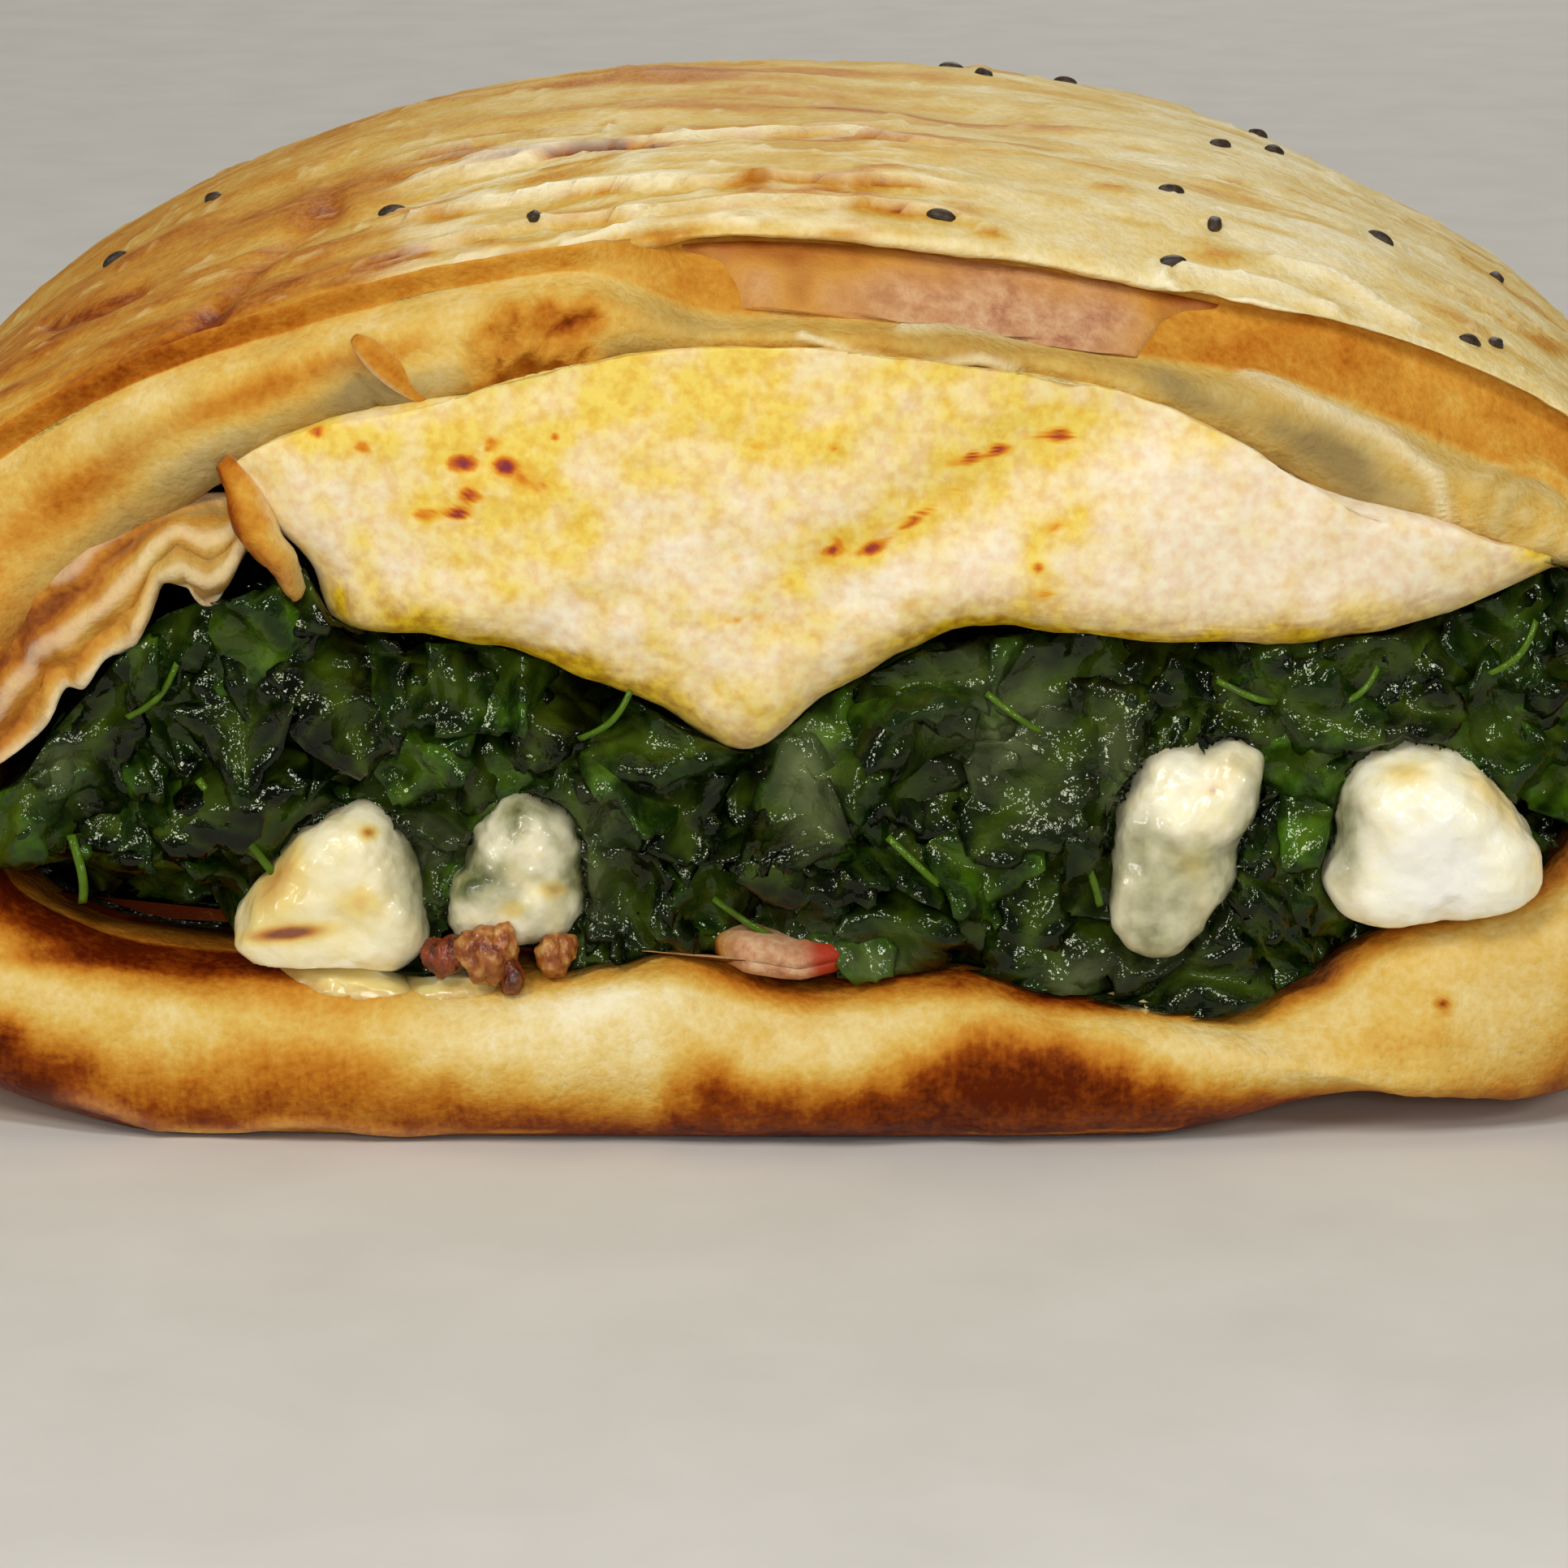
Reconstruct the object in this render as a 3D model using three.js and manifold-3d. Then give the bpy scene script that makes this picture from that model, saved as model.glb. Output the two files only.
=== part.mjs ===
// Half of a baked stromboli, cut across and seen from its cut end: a wrap of bread dough with a two-layer
// roof, round a slab of chicken breast, wilted spinach, melted mozzarella, ham and a few sausage crumbs.
//
// Millimetres, +Z up. The cut end faces -Y, the tucked end +Y, and the loaf rests on z = 0. The origin is
// the middle of its footprint. Inside the file a place is often given in loaf terms instead:
//   turn   the angle round the loaf's long axis, 0 at the right side and a quarter turn at the crest
//   depth  how far through the dough, 0 at the filling and 1 at the crust
//   back   the distance behind the foremost point of the bottom lip
import * as THREE from "three";
import { mergeVertices } from "three/addons/utils/BufferGeometryUtils.js";
import Module from "manifold-3d";

const wasm = await Module();
wasm.setup();

// Driving dimensions
const WIDTH = 127;
const HEIGHT = 60;
const LENGTH = 140;
const AXIS_HEIGHT = 23; // the long axis above the board
const TAIL_DROP = 8; // how far the axis sinks at the tucked end
const GAP = 0.5; // clearance between neighbouring pieces
const DOUGH_GAP = 0.8; // clearance between the filling and the dough
const ROUND = 56; // facets round the loaf, the same for the dough and the filling, so that they lie alike
const TAU = 2 * Math.PI;

// The dough
const WALL = { base: 10, side: 12.5, roof: 10.5 }; // thickness well inside the loaf
const CAVITY_LENGTH = 122;
const FILLING_LENGTH = 120;
const CAVITY_STOPS = [7, 20, 44, 76, 106]; // stations along the cavity, the same for the filling
const MOUTH_FADE = 34; // over this distance the mouth's outline becomes the regular cavity
const LIP_ROUND = 5; // how far the bottom lip bulges
const CUT_BOW = 5; // how far the sides of the cut lie behind its middle
const ROOF_SETBACK = 3.4; // the roof's lower layer behind the bottom lip
const ROLL_ROUND = 3; // how far the lower layer's rolled edge bulges
const SLOPE_START = 2.6; // where the slope behind it begins
const EDGE_ROUND = 2.2; // how far the outer layer's edge bulges
const FRONT_DROOP = 3.6; // the roof sinks this much where it is cut
const RIGHT_LIFT = 2.8; // the bottom lip arches off the board at the right

// Dark seeds baked into the crust: those near the cut as [turn / pi, back], and how many lie further back
const FRONT_SEEDS = [
  [0.747, 41.8], [0.706, 46.8], [0.628, 25.5], [0.578, 14], [0.453, 8.5], [0.379, 10.5],
  [0.375, 22.5], [0.361, 17.2], [0.289, 30.5], [0.269, 10], [0.255, 12.4], [0.222, 46.8],
];
const BACK_SEEDS = 10;
const SEED_HALF = [0.95, 0.5, 0.45];

// The mouth: where the dough ends and the filling begins at the cut, as [x, z] from the lower right corner
const MOUTH_OUTLINE = [
  [53, 26], [50, 35], [42, 38], [33, 41], [22, 46.5], [8, 49.3], [-8, 49.6], [-22, 47.3],
  [-32, 43.5], [-38, 38], [-46, 31], [-49.8, 21], [-48.4, 15], [-43, 12.2], [-26, 11.2], [-8, 11.9],
  [1, 9.8], [11, 10.6], [21, 8.8], [27, 8], [31.5, 9.8], [36, 13], [47, 15.8],
];

// The chicken: its left tip, the tongue that hangs over the spinach, and its long lower edge at the right
const CHICKEN_CENTRE = [0, 40];
const CHICKEN_LENGTH = 108;
const CHICKEN_OUTLINE = [
  [52, 39.5], [40, 46], [24, 52], [0, 55], [-22, 52], [-35, 46], [-31.5, 39.5], [-26, 34.5],
  [-16, 31.2], [-8, 27.6], [-2, 24.7], [2.4, 28], [8.5, 31.6], [16, 32.3], [38, 32], [45, 34.5],
];

// Melted lumps and crumbs: the middle [x, back, z], and the half sizes across, along and up
const MOZZARELLA = {
  mozzarella_left: { at: [-27.6, 9, 16.4], half: [6, 7, 5.4] },
  mozzarella_centre_left: { at: [-16.6, 10.5, 17], half: [4.4, 7, 4.8] },
  mozzarella_centre_right: { at: [24.8, 9.5, 18.2], half: [5.2, 7, 6] },
  mozzarella_right: { at: [40.2, 9, 20.2], half: [6.4, 7, 5.2] },
};
const SAUSAGE = {
  sausage_left: [
    { at: [-21.2, 3.6, 12.4], half: [1.8, 1.6, 1.5] },
    { at: [-18.8, 3.2, 12.2], half: [1.9, 1.7, 1.7] },
    { at: [-16.7, 3.1, 11.3], half: [1.4, 1.5, 1.5] },
  ],
  sausage_right: [{ at: [-12.9, 4.2, 12.6], half: [1.5, 1.5, 1.4] }],
};

// Ham: one slice over the roof's lower layer, and one on the dough below the spinach
const ROOF_HAM = { from: 0.36 * Math.PI, to: 0.55 * Math.PI, length: 92, thick: 0.12 };
const FLOOR_HAM = { left: -47.5, right: 9, length: 96, thick: 1.3 };

const clamp = (x, low = 0, high = 1) => Math.min(high, Math.max(low, x));
const mix = (a, b, share) => a + (b - a) * share;
const ease = (from, to, x) => {
  const t = clamp((x - from) / (to - from));
  return t * t * (3 - 2 * t);
};
// 1 at share 0, falling to 0 at share 1 along a rounded corner
const rounded = (share, power) => (1 - clamp(share) ** power) ** (1 / power);
// How far a half-round edge stands back at x, when it reaches its front at middle
const halfRound = (x, middle, half) => 1 - Math.sqrt(Math.max(0, 1 - ((x - middle) / half) ** 2));

// A small repeatable random draw
function drawer(seed) {
  let state = seed;
  return (low, high) => {
    state = (state * 1664525 + 1013904223) % 4294967296;
    return low + (high - low) * (state / 4294967296);
  };
}

// The distance from a centre to a closed outline, as a smooth function of the angle
function reachOf(outline, [cx, cz]) {
  const knots = outline
    .map(([x, z]) => [Math.atan2(z - cz, x - cx), Math.hypot(x - cx, z - cz)])
    .sort((p, q) => p[0] - q[0]);
  const count = knots.length;
  const knot = (i) => {
    const [angle, reach] = knots[(i + count) % count];
    return [angle + TAU * Math.floor(i / count), reach];
  };
  const slope = (i) => (knot(i + 1)[1] - knot(i - 1)[1]) / (knot(i + 1)[0] - knot(i - 1)[0]);
  return (angle) => {
    const next = knots.findIndex(([a]) => a > angle);
    const i = (next < 0 ? count : next) - 1;
    const [a0, r0] = knot(i);
    const [a1, r1] = knot(i + 1);
    const span = a1 - a0;
    const t = (angle - a0) / span;
    return (
      (2 * t ** 3 - 3 * t ** 2 + 1) * r0 +
      (t ** 3 - 2 * t ** 2 + t) * span * slope(i) +
      (3 * t ** 2 - 2 * t ** 3) * r1 +
      (t ** 3 - t ** 2) * span * slope((i + count) % count === count - 1 ? 0 : i + 1)
    );
  };
}
const mouthReach = reachOf(MOUTH_OUTLINE, [0, AXIS_HEIGHT]);
const chickenReach = reachOf(CHICKEN_OUTLINE, CHICKEN_CENTRE);

const axisAt = (back) => AXIS_HEIGHT - TAIL_DROP * ease(80, LENGTH, back);

// The crust's outline at a station, from the long axis: an arch above, a flat base with round corners below
function crust(turn, back) {
  const across = Math.cos(turn);
  const up = Math.sin(turn);
  const middle = axisAt(back);
  const x = (WIDTH / 2) * rounded((back - 75) / 65, 2.4) * Math.sign(across);
  if (up >= 0) {
    const tail = rounded((back - 40) / 100, 2.2);
    const droop = FRONT_DROOP * Math.exp(-((back / 15) ** 2));
    const folds = 0.9 * Math.sin(back / 9 + 4 * turn) + 0.7 * Math.sin(back / 23 - 7 * turn) - 1.6;
    const rise = (HEIGHT - middle) * tail - droop;
    return [x * Math.abs(across), rise * up + 0.5 * folds * tail * up ** 2];
  }
  const sink = middle * rounded((back - 108) / 32, 2.2);
  return [x * Math.abs(across) ** 0.75, -sink * Math.min(1, 1.12 * Math.abs(up) ** 0.6)];
}

// A point of the loaf from its turn, depth and back. Depths below 0 lie in the filling, towards the axis.
function loafPoint(turn, depth, back, cavityEnd = CAVITY_LENGTH, inset = 0) {
  const [x, z] = crust(turn, back);
  const outside = Math.hypot(x, z);
  const angle = Math.atan2(z, x);
  const [dx, dz] = outside > 1e-9 ? [x / outside, z / outside] : [0, 0];
  const flat = Math.abs(dz);
  const wall = mix(WALL.side, z > 0 ? WALL.roof : WALL.base, flat ** 2) / mix(1, 0.9, flat);
  const inside = mix(mouthReach(angle), Math.max(1, outside - wall), ease(0, MOUTH_FADE, back));
  const hollow = (inside - inset) * rounded((back - cavityEnd + 30) / 30, 2.4);
  const reach = depth >= 0 ? mix(hollow, outside, depth) : hollow * (1 + depth);
  const arch = z < 0 ? ease(22, 37, x) * ease(50, 38, x) * ease(46, 10, back) : 0;
  const lift = RIGHT_LIFT * arch * clamp(depth);
  return [reach * dx, back - LENGTH / 2, axisAt(back) + reach * dz + lift];
}

// The roof's lower layer is a rolled lip, thick at the left, thin in the middle and thicker again at the
// right. Behind it a slope runs up to the edge of the outer layer. Both borders are given as a depth.
const leftShare = (turn) => (turn > 0 ? ease(1.65, 1.79, turn) : ease(-1, -2.1, turn));
const rightShare = (turn) => (turn > 0 ? ease(1.22, 0.98, turn) : ease(-2.1, -1, turn));
const lipShare = (turn) => 0.3 + 0.48 * leftShare(turn) + 0.18 * rightShare(turn);
const edgeShare = (turn) => 0.8 + 0.08 * leftShare(turn) + 0.12 * rightShare(turn);
const slopeRun = (turn) => 7.2 * (edgeShare(turn) - lipShare(turn));

// A place on the cut face: layer 0 to 1 crosses the rolled lip, 1 to 2 the slope, 2 to 3 the outer layer
function layerDepth(turn, layer) {
  const lip = lipShare(turn);
  const edge = edgeShare(turn);
  if (layer < 1) return lip * layer;
  return layer < 2 ? mix(lip, edge, layer - 1) : mix(edge, 1, layer - 2);
}

// How far back the cut face lies: one round lip below and at the sides, and the layers of the roof above
function cutFace(turn, layer) {
  const roof = ease(0.1, 0.62, Math.sin(turn));
  const plain = LIP_ROUND * halfRound(layerDepth(turn, layer), 0.5, 0.5);
  const run = slopeRun(turn);
  const rolled = layer < 1 ? ROLL_ROUND * halfRound(layer, 0.5, 0.5) : Infinity;
  const slope = layer > 0.9 ? SLOPE_START + run * (layer - 1) : Infinity;
  const edge = layer > 2 ? SLOPE_START + 0.56 * run + EDGE_ROUND * halfRound(layer, 2.5, 0.5) : Infinity;
  return mix(plain, ROOF_SETBACK + Math.min(rolled, slope, edge), roof) + CUT_BOW * Math.cos(turn) ** 2;
}

// Moves every vertex of a geometry and returns it as a closed solid
function solidOf(geometry, place = (x, y, z) => [x, y, z]) {
  const plain = new THREE.BufferGeometry();
  const position = geometry.getAttribute("position").clone();
  for (let i = 0; i < position.count; i++)
    position.setXYZ(i, ...place(position.getX(i), position.getY(i), position.getZ(i)));
  plain.setAttribute("position", position);
  plain.setIndex(geometry.index);
  const merged = mergeVertices(plain, 1e-3);
  const kept = [];
  const corner = merged.index.array;
  for (let i = 0; i < corner.length; i += 3) {
    const [a, b, c] = [corner[i], corner[i + 1], corner[i + 2]];
    if (a !== b && b !== c && a !== c) kept.push(a, b, c);
  }
  const solid = (order) =>
    new wasm.Manifold(
      new wasm.Mesh({
        numProp: 3,
        vertProperties: merged.getAttribute("position").array,
        triVerts: new Uint32Array(order),
      }),
    );
  const made = solid(kept);
  return made.volume() > 0 ? made : solid(kept.reverse());
}

// A lathe's vertex as [turn, radius, height]
const lathed = (x, y, z) => [Math.atan2(z, x), Math.hypot(x, z), y];

// Only the biggest piece of a solid, without the scraps and the slivers that a cut left behind
const SLIVER = 0.02;
const biggest = (solid) =>
  solid.decompose().sort((a, b) => b.volume() - a.volume())[0].simplify(SLIVER);

const stations = (list) => list.map(([radius, height]) => new THREE.Vector2(radius, height));

// The dough cup before the ham's slot is cut: crust from the tail to the lip, round the lip, and back
// down the cavity. In the lathe's profile, radius 1 is the filling's side and radius 2 the crust.
function doughCup() {
  const crustStops = [140, 138, 132, 122, 108, 90, 70, 52, 38, 26, 16, 9, 4];
  const layers = [3, 2.85, 2.5, 2.15, 2, 1.85, 1.4, 1.05, 0.96, 0.85, 0.65, 0.4, 0.15, 0.04, 0];
  const profile = stations([
    ...crustStops.map((stop) => [2, stop]),
    ...layers.map((layer) => [1 + layer / 3, 0]),
    ...[...CAVITY_STOPS, CAVITY_LENGTH].map((stop) => [1, stop]),
  ]);
  return solidOf(new THREE.LatheGeometry(profile, ROUND), (x, y, z) => {
    const [turn, radius, stop] = lathed(x, y, z);
    const layer = 3 * (radius - 1);
    const face = cutFace(turn, layer);
    const end = layer > 1.5 ? LENGTH : CAVITY_LENGTH;
    return loafPoint(turn, layerDepth(turn, layer), mix(face, end, stop / end));
  });
}

// The space of the filling, drawn in from the dough and run out through the mouth
function fillingSpace(front, inset = DOUGH_GAP) {
  const stops = [front, ...CAVITY_STOPS, FILLING_LENGTH];
  const profile = stations([[0, front], ...stops.map((stop) => [1, stop])]);
  return solidOf(new THREE.LatheGeometry(profile, ROUND), (x, y, z) => {
    const [turn, radius, stop] = lathed(x, y, z);
    const [px, , pz] = loafPoint(turn, radius - 1, Math.max(0, stop), FILLING_LENGTH, inset);
    return [px, stop - LENGTH / 2 + CUT_BOW * Math.cos(turn) ** 2 * radius * ease(12, 0, stop), pz];
  });
}

// The chicken's blank: a slab with a domed face, a shallow valley across it and a rounded lower edge
function chickenBlank(grow = 0) {
  const rings = [0, 0.35, 0.65, 0.85, 0.95, 1];
  const profile = stations([
    ...rings.map((ring) => [ring, 0]),
    ...[5, 40, CHICKEN_LENGTH].map((stop) => [1, stop]),
    [0, CHICKEN_LENGTH],
  ]);
  return solidOf(new THREE.LatheGeometry(profile, 44), (x, y, z) => {
    const [angle, ring, stop] = lathed(x, y, z);
    const reach = chickenReach(angle) * ring + grow * ring;
    const px = CHICKEN_CENTRE[0] + reach * Math.cos(angle);
    const pz = CHICKEN_CENTRE[1] + reach * Math.sin(angle);
    const dome = 4.5 * halfRound(ring, 0, 1) + 1.6 * ease(40, 50, pz);
    const valley = 0.9 * Math.exp(-(((pz - 38 - 0.55 * (px - 6)) / 4) ** 2)) * ease(-4, 6, px);
    const bow = CUT_BOW * (px / 60) ** 2;
    const face = 1.8 + dome + valley + bow - grow;
    return [px, (stop > 0 ? 7 + stop : face) - LENGTH / 2, pz];
  });
}

// A soft lump: a ball with slow waves over it
function lump({ at, half }, grow = 0, seed = 1, facets = 12) {
  return solidOf(new THREE.SphereGeometry(1, facets, Math.round(facets * 0.7)), (x, y, z) => {
    const wave = 1 + 0.09 * Math.sin(3.1 * x + seed) * Math.cos(2.7 * z - seed) + 0.05 * Math.sin(5 * y + 3 * seed);
    return [x, y, z].map((v, i) => {
      const middle = i === 1 ? at[1] - LENGTH / 2 : at[i];
      return middle + v * wave * (half[i] + grow);
    });
  });
}

// A thin slice bent over the lower roof layer: up the slope at the cut, then in between the two layers
function roofHam(grow = 0) {
  const slab = new THREE.BoxGeometry(1, 1, 1, 12, 8, 1);
  return solidOf(slab, (x, y, z) => {
    const margin = grow / 40;
    const turn = mix(ROOF_HAM.from - margin, ROOF_HAM.to + margin, x + 0.5);
    const run = slopeRun(turn);
    const onSlope = (share, ahead) =>
      new THREE.Vector3(mix(lipShare(turn), edgeShare(turn), share), SLOPE_START + share * run - ahead, 0);
    const path = new THREE.CatmullRomCurve3([
      onSlope(0.12, 0.5),
      onSlope(0.5, 0.3),
      onSlope(0.84, -0.4),
      new THREE.Vector3(0.68, SLOPE_START + run + 4, 0),
      new THREE.Vector3(0.66, 30, 0),
      new THREE.Vector3(0.66, ROOF_HAM.length, 0),
    ]);
    const along = path.getPoint(clamp(y + 0.5) ** 1.3);
    const front = y < -0.49 ? -1.2 * grow : 0;
    const tail = y > 0.49 ? grow : 0;
    const depth = along.x + z * (ROOF_HAM.thick + grow / 5.2) + front / 8;
    return loafPoint(turn, depth, ROOF_SETBACK + along.y + front + tail + CUT_BOW * Math.cos(turn) ** 2);
  });
}

// A slice that lies on the floor of the mouth, rippled along its front edge
function floorHam(grow = 0) {
  const slab = new THREE.BoxGeometry(1, 1, 1, 16, 3, 1);
  return solidOf(slab, (x, y, z) => {
    const px = mix(FLOOR_HAM.left - grow, FLOOR_HAM.right + grow, x + 0.5);
    const front = 4.6 + CUT_BOW * (px / 60) ** 2 + 0.8 * Math.sin(px / 4.3) - grow;
    const back = mix(front, FLOOR_HAM.length + grow, (y + 0.5) ** 1.5);
    const below = mix(mouthFloor(px), WALL.base + 0.4, ease(0, MOUTH_FADE, back));
    const middle = below + 0.8 + FLOOR_HAM.thick / 2 + 0.35 * Math.sin(px / 5 + back / 11);
    return [px, back - LENGTH / 2, middle + z * (FLOOR_HAM.thick + 2 * grow)];
  });
}

// The height of the mouth's lower or upper edge at x, found along the outline between its corners
function mouthEdge(x, upper) {
  const points = upper ? MOUTH_OUTLINE.slice(0, 12) : [...MOUTH_OUTLINE.slice(11), MOUTH_OUTLINE[0]];
  for (let i = 1; i < points.length; i++) {
    const [x0, z0] = points[i - 1];
    const [x1, z1] = points[i];
    if ((x0 - x) * (x1 - x) <= 0) return mix(z0, z1, (x - x0) / (x1 - x0));
  }
  return AXIS_HEIGHT;
}
const mouthFloor = (x) => mouthEdge(x, false);

// The height of the chicken's lower edge at x, or of the mouth's roof beyond its ends
function spinachCeiling(x) {
  const lower = [CHICKEN_OUTLINE[5], ...CHICKEN_OUTLINE.slice(6), CHICKEN_OUTLINE[0]];
  for (let i = 1; i < lower.length; i++) {
    const [x0, z0] = lower[i - 1];
    const [x1, z1] = lower[i];
    if (x >= x0 && x <= x1) return mix(z0, z1, (x - x0) / (x1 - x0));
  }
  return mouthEdge(x, true) - 2;
}

// One wilted leaf: a thin sheet with a folded midrib and a wavy rim, both faces split alike
function spinachLeaf(draw) {
  const length = draw(9, 14);
  const width = draw(6.5, 9.5);
  const fold = draw(0.5, 1.6);
  const curl = draw(-0.05, 0.09);
  const phase = draw(0, TAU);
  const blade = new THREE.BoxGeometry(1, 1, 1, 2, 3, 1);
  return solidOf(blade, (x, y, z) => {
    const narrow = Math.sqrt(Math.max(0.12, 1 - (1.9 * y) ** 2));
    const px = x * width * narrow;
    const py = y * length;
    const wave = fold * Math.cos(TAU * x) + 0.9 * Math.sin(py * 0.9 + phase + 5 * x) + curl * py * py;
    return [px, py, z * 1.1 + wave];
  });
}

// The spinach: a core that runs through the loaf, and at the cut the leaves that show, in rows
function spinach(taken) {
  const draw = drawer(26);
  let heap = fillingSpace(7.5);
  const leaves = [];
  const columns = 8;
  for (let row = 0; row < 3; row++)
    for (let column = 0; column < columns; column++) {
      const x = mix(-46, 51, (column + 0.5 * (row % 2) + draw(0.1, 0.4)) / columns);
      const floor = mouthFloor(x) + 2.5;
      const z = mix(floor, spinachCeiling(x) - 1.5, (row + draw(0.2, 0.8)) / 3);
      const back = 5.6 + CUT_BOW * (x / 60) ** 2 + draw(-0.8, 0.9);
      const lie = new THREE.Euler(Math.PI / 2 + draw(-0.5, 0.5), draw(-0.5, 0.5), draw(-1.4, 1.4), "XYZ");
      const matrix = new THREE.Matrix4().makeRotationFromEuler(lie).setPosition(x, back - LENGTH / 2, z);
      leaves.push(spinachLeaf(draw).transform(matrix.elements));
    }
  for (const leaf of leaves) heap = heap.add(leaf);
  heap = heap.intersect(fillingSpace(0.8, DOUGH_GAP + 0.2));
  for (const solid of taken) heap = heap.subtract(solid);
  return biggest(heap);
}

// The torn inner layer at the left of the mouth: a thin frill that hangs from the roof's lip
function tornFrill() {
  const sheet = new THREE.BoxGeometry(1, 1, 1, 14, 3, 1);
  const root = new THREE.CatmullRomCurve3(
    [[-52.5, 24], [-50, 31.5], [-44, 38.5], [-36, 43], [-30.5, 45.5]].map(([x, z]) => new THREE.Vector3(x, 0, z)),
  );
  return solidOf(sheet, (x, y, z) => {
    const along = x + 0.5;
    const out = y + 0.5;
    const at = root.getPoint(along);
    const tangent = root.getTangent(along);
    const scallop = 0.75 + 0.25 * Math.abs(Math.sin(along * 8.5));
    const hang = out * scallop * mix(3.4, 8.2, Math.sin(Math.PI * clamp(along * 1.05)));
    const wave = 0.5 * Math.sin(along * 21) * out;
    const px = at.x + tangent.z * hang;
    const pz = at.z - tangent.x * hang;
    const back = 8.2 - 3.2 * Math.sin(out * 1.9) + wave + CUT_BOW * 0.4 + z * 1.3;
    return [px, back - LENGTH / 2, pz];
  });
}

// A dried flake that peels off the roof's lip and hangs down beside the chicken
function hangingFlake() {
  return solidOf(new THREE.BoxGeometry(1, 1, 1, 3, 7, 1), (x, y, z) => {
    const down = 0.5 - y;
    const half = 0.5 + 1.2 * Math.sin(Math.PI * down ** 0.9);
    const px = -34.6 + 4.4 * down + x * 2 * half;
    const back = 6 - 1.2 * Math.sin(down * 2.6) + 1.6 * x ** 2 + z * 1.1;
    return [px, back - LENGTH / 2, 45.6 - 11.2 * down];
  });
}

// The seeds, each lying flat on the crust
function seeds() {
  const draw = drawer(21);
  const places = FRONT_SEEDS.map(([share, back]) => [share * Math.PI, back]);
  for (let i = 0; i < BACK_SEEDS; i++)
    places.push([draw(0.2, 0.8) * Math.PI, mix(50, 118, (i + draw(0, 1)) / BACK_SEEDS)]);
  return places.map(([turn, back]) => {
    const spot = new THREE.Vector3(...loafPoint(turn, 1, back));
    const outward = spot.clone().sub(new THREE.Vector3(0, spot.y, AXIS_HEIGHT)).normalize();
    const lie = new THREE.Quaternion()
      .setFromUnitVectors(new THREE.Vector3(0, 0, 1), outward)
      .multiply(new THREE.Quaternion().setFromAxisAngle(new THREE.Vector3(0, 0, 1), draw(0, TAU)));
    const matrix = new THREE.Matrix4().compose(spot, lie, new THREE.Vector3(...SEED_HALF));
    return solidOf(new THREE.SphereGeometry(1, 4, 4)).transform(matrix.elements);
  });
}

// The dough in one piece: the cup with the ham's slot, the frill, the flake and the seeds
function doughWrap() {
  let dough = doughCup().subtract(roofHam(GAP));
  for (const piece of [tornFrill(), hangingFlake(), ...seeds()]) dough = dough.add(piece);
  return biggest(dough);
}

// A thin solid with clearance all round it
function thicken(solid, by) {
  const shifts = [[0, by, 0], [0, -by, 0], [by, 0, 0], [-by, 0, 0], [0, 0, by], [0, 0, -by]];
  return shifts.reduce((whole, shift) => whole.add(solid.translate(shift)), solid);
}
const frillRoom = [tornFrill(), hangingFlake()].map((solid) => thicken(solid, GAP));

// Cut to the filling's space, and clear of the frill and the flake
function inFilling(blank, front, others = []) {
  let made = blank.intersect(fillingSpace(front));
  for (const other of [...frillRoom, ...others]) made = made.subtract(other);
  return biggest(made);
}

const lumps = Object.entries(MOZZARELLA);
const crumbs = Object.entries(SAUSAGE);
const crumbSolid = (balls, grow = 0) =>
  balls.map((ball, i) => lump(ball, grow, i + 3, 8)).reduce((whole, ball) => whole.add(ball));
const crumbRoom = crumbs.map(([, balls]) => crumbSolid(balls, GAP));
const lumpRoom = lumps.map(([, spec], i) => lump(spec, GAP, i));

const pieces = [];
pieces.push(["dough", doughWrap()]);
pieces.push(["ham_roof", biggest(roofHam())]);
pieces.push(["ham_floor", inFilling(floorHam(), -2, crumbRoom)]);
pieces.push(["chicken", inFilling(chickenBlank(), -2)]);
lumps.forEach(([name, spec], i) => {
  pieces.push([name, inFilling(lump(spec, 0, i), -2, [...crumbRoom, floorHam(GAP), chickenBlank(GAP)])]);
});
crumbs.forEach(([name, balls]) => {
  pieces.push([name, biggest(crumbSolid(balls).intersect(fillingSpace(-2)))]);
});
pieces.push([
  "spinach",
  spinach([...frillRoom, ...crumbRoom, ...lumpRoom, chickenBlank(GAP), floorHam(GAP)]),
]);

// Finishes: colour, roughness
const FINISH = {
  dough: ["#d9a55c", 0.75],
  ham: ["#c98672", 0.5],
  chicken: ["#ecd9a4", 0.6],
  mozzarella: ["#efe3b4", 0.35],
  sausage: ["#8a4a1c", 0.55],
  spinach: ["#1f3d12", 0.3],
};
function finishOf(name) {
  const [color, roughness] = FINISH[name.split("_")[0]];
  return new THREE.MeshStandardMaterial({ name: name.split("_")[0], color, roughness, metalness: 0 });
}

// A solid as a named mesh
function meshOf(name, solid) {
  const { numProp, numVert, vertProperties, triVerts } = solid.getMesh();
  const position = new Float32Array(numVert * 3);
  for (let i = 0; i < numVert; i++)
    position.set(vertProperties.subarray(i * numProp, i * numProp + 3), i * 3);
  const geometry = new THREE.BufferGeometry();
  geometry.setAttribute("position", new THREE.BufferAttribute(position, 3));
  geometry.setIndex(new THREE.BufferAttribute(new Uint32Array(triVerts), 1));
  geometry.computeVertexNormals();
  const mesh = new THREE.Mesh(geometry, finishOf(name));
  mesh.name = name;
  return mesh;
}

const stromboli = new THREE.Group();
for (const [name, solid] of pieces) stromboli.add(meshOf(name, solid));

export default stromboli;
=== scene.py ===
import bpy
import numpy as np
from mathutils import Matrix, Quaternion, Vector


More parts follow.
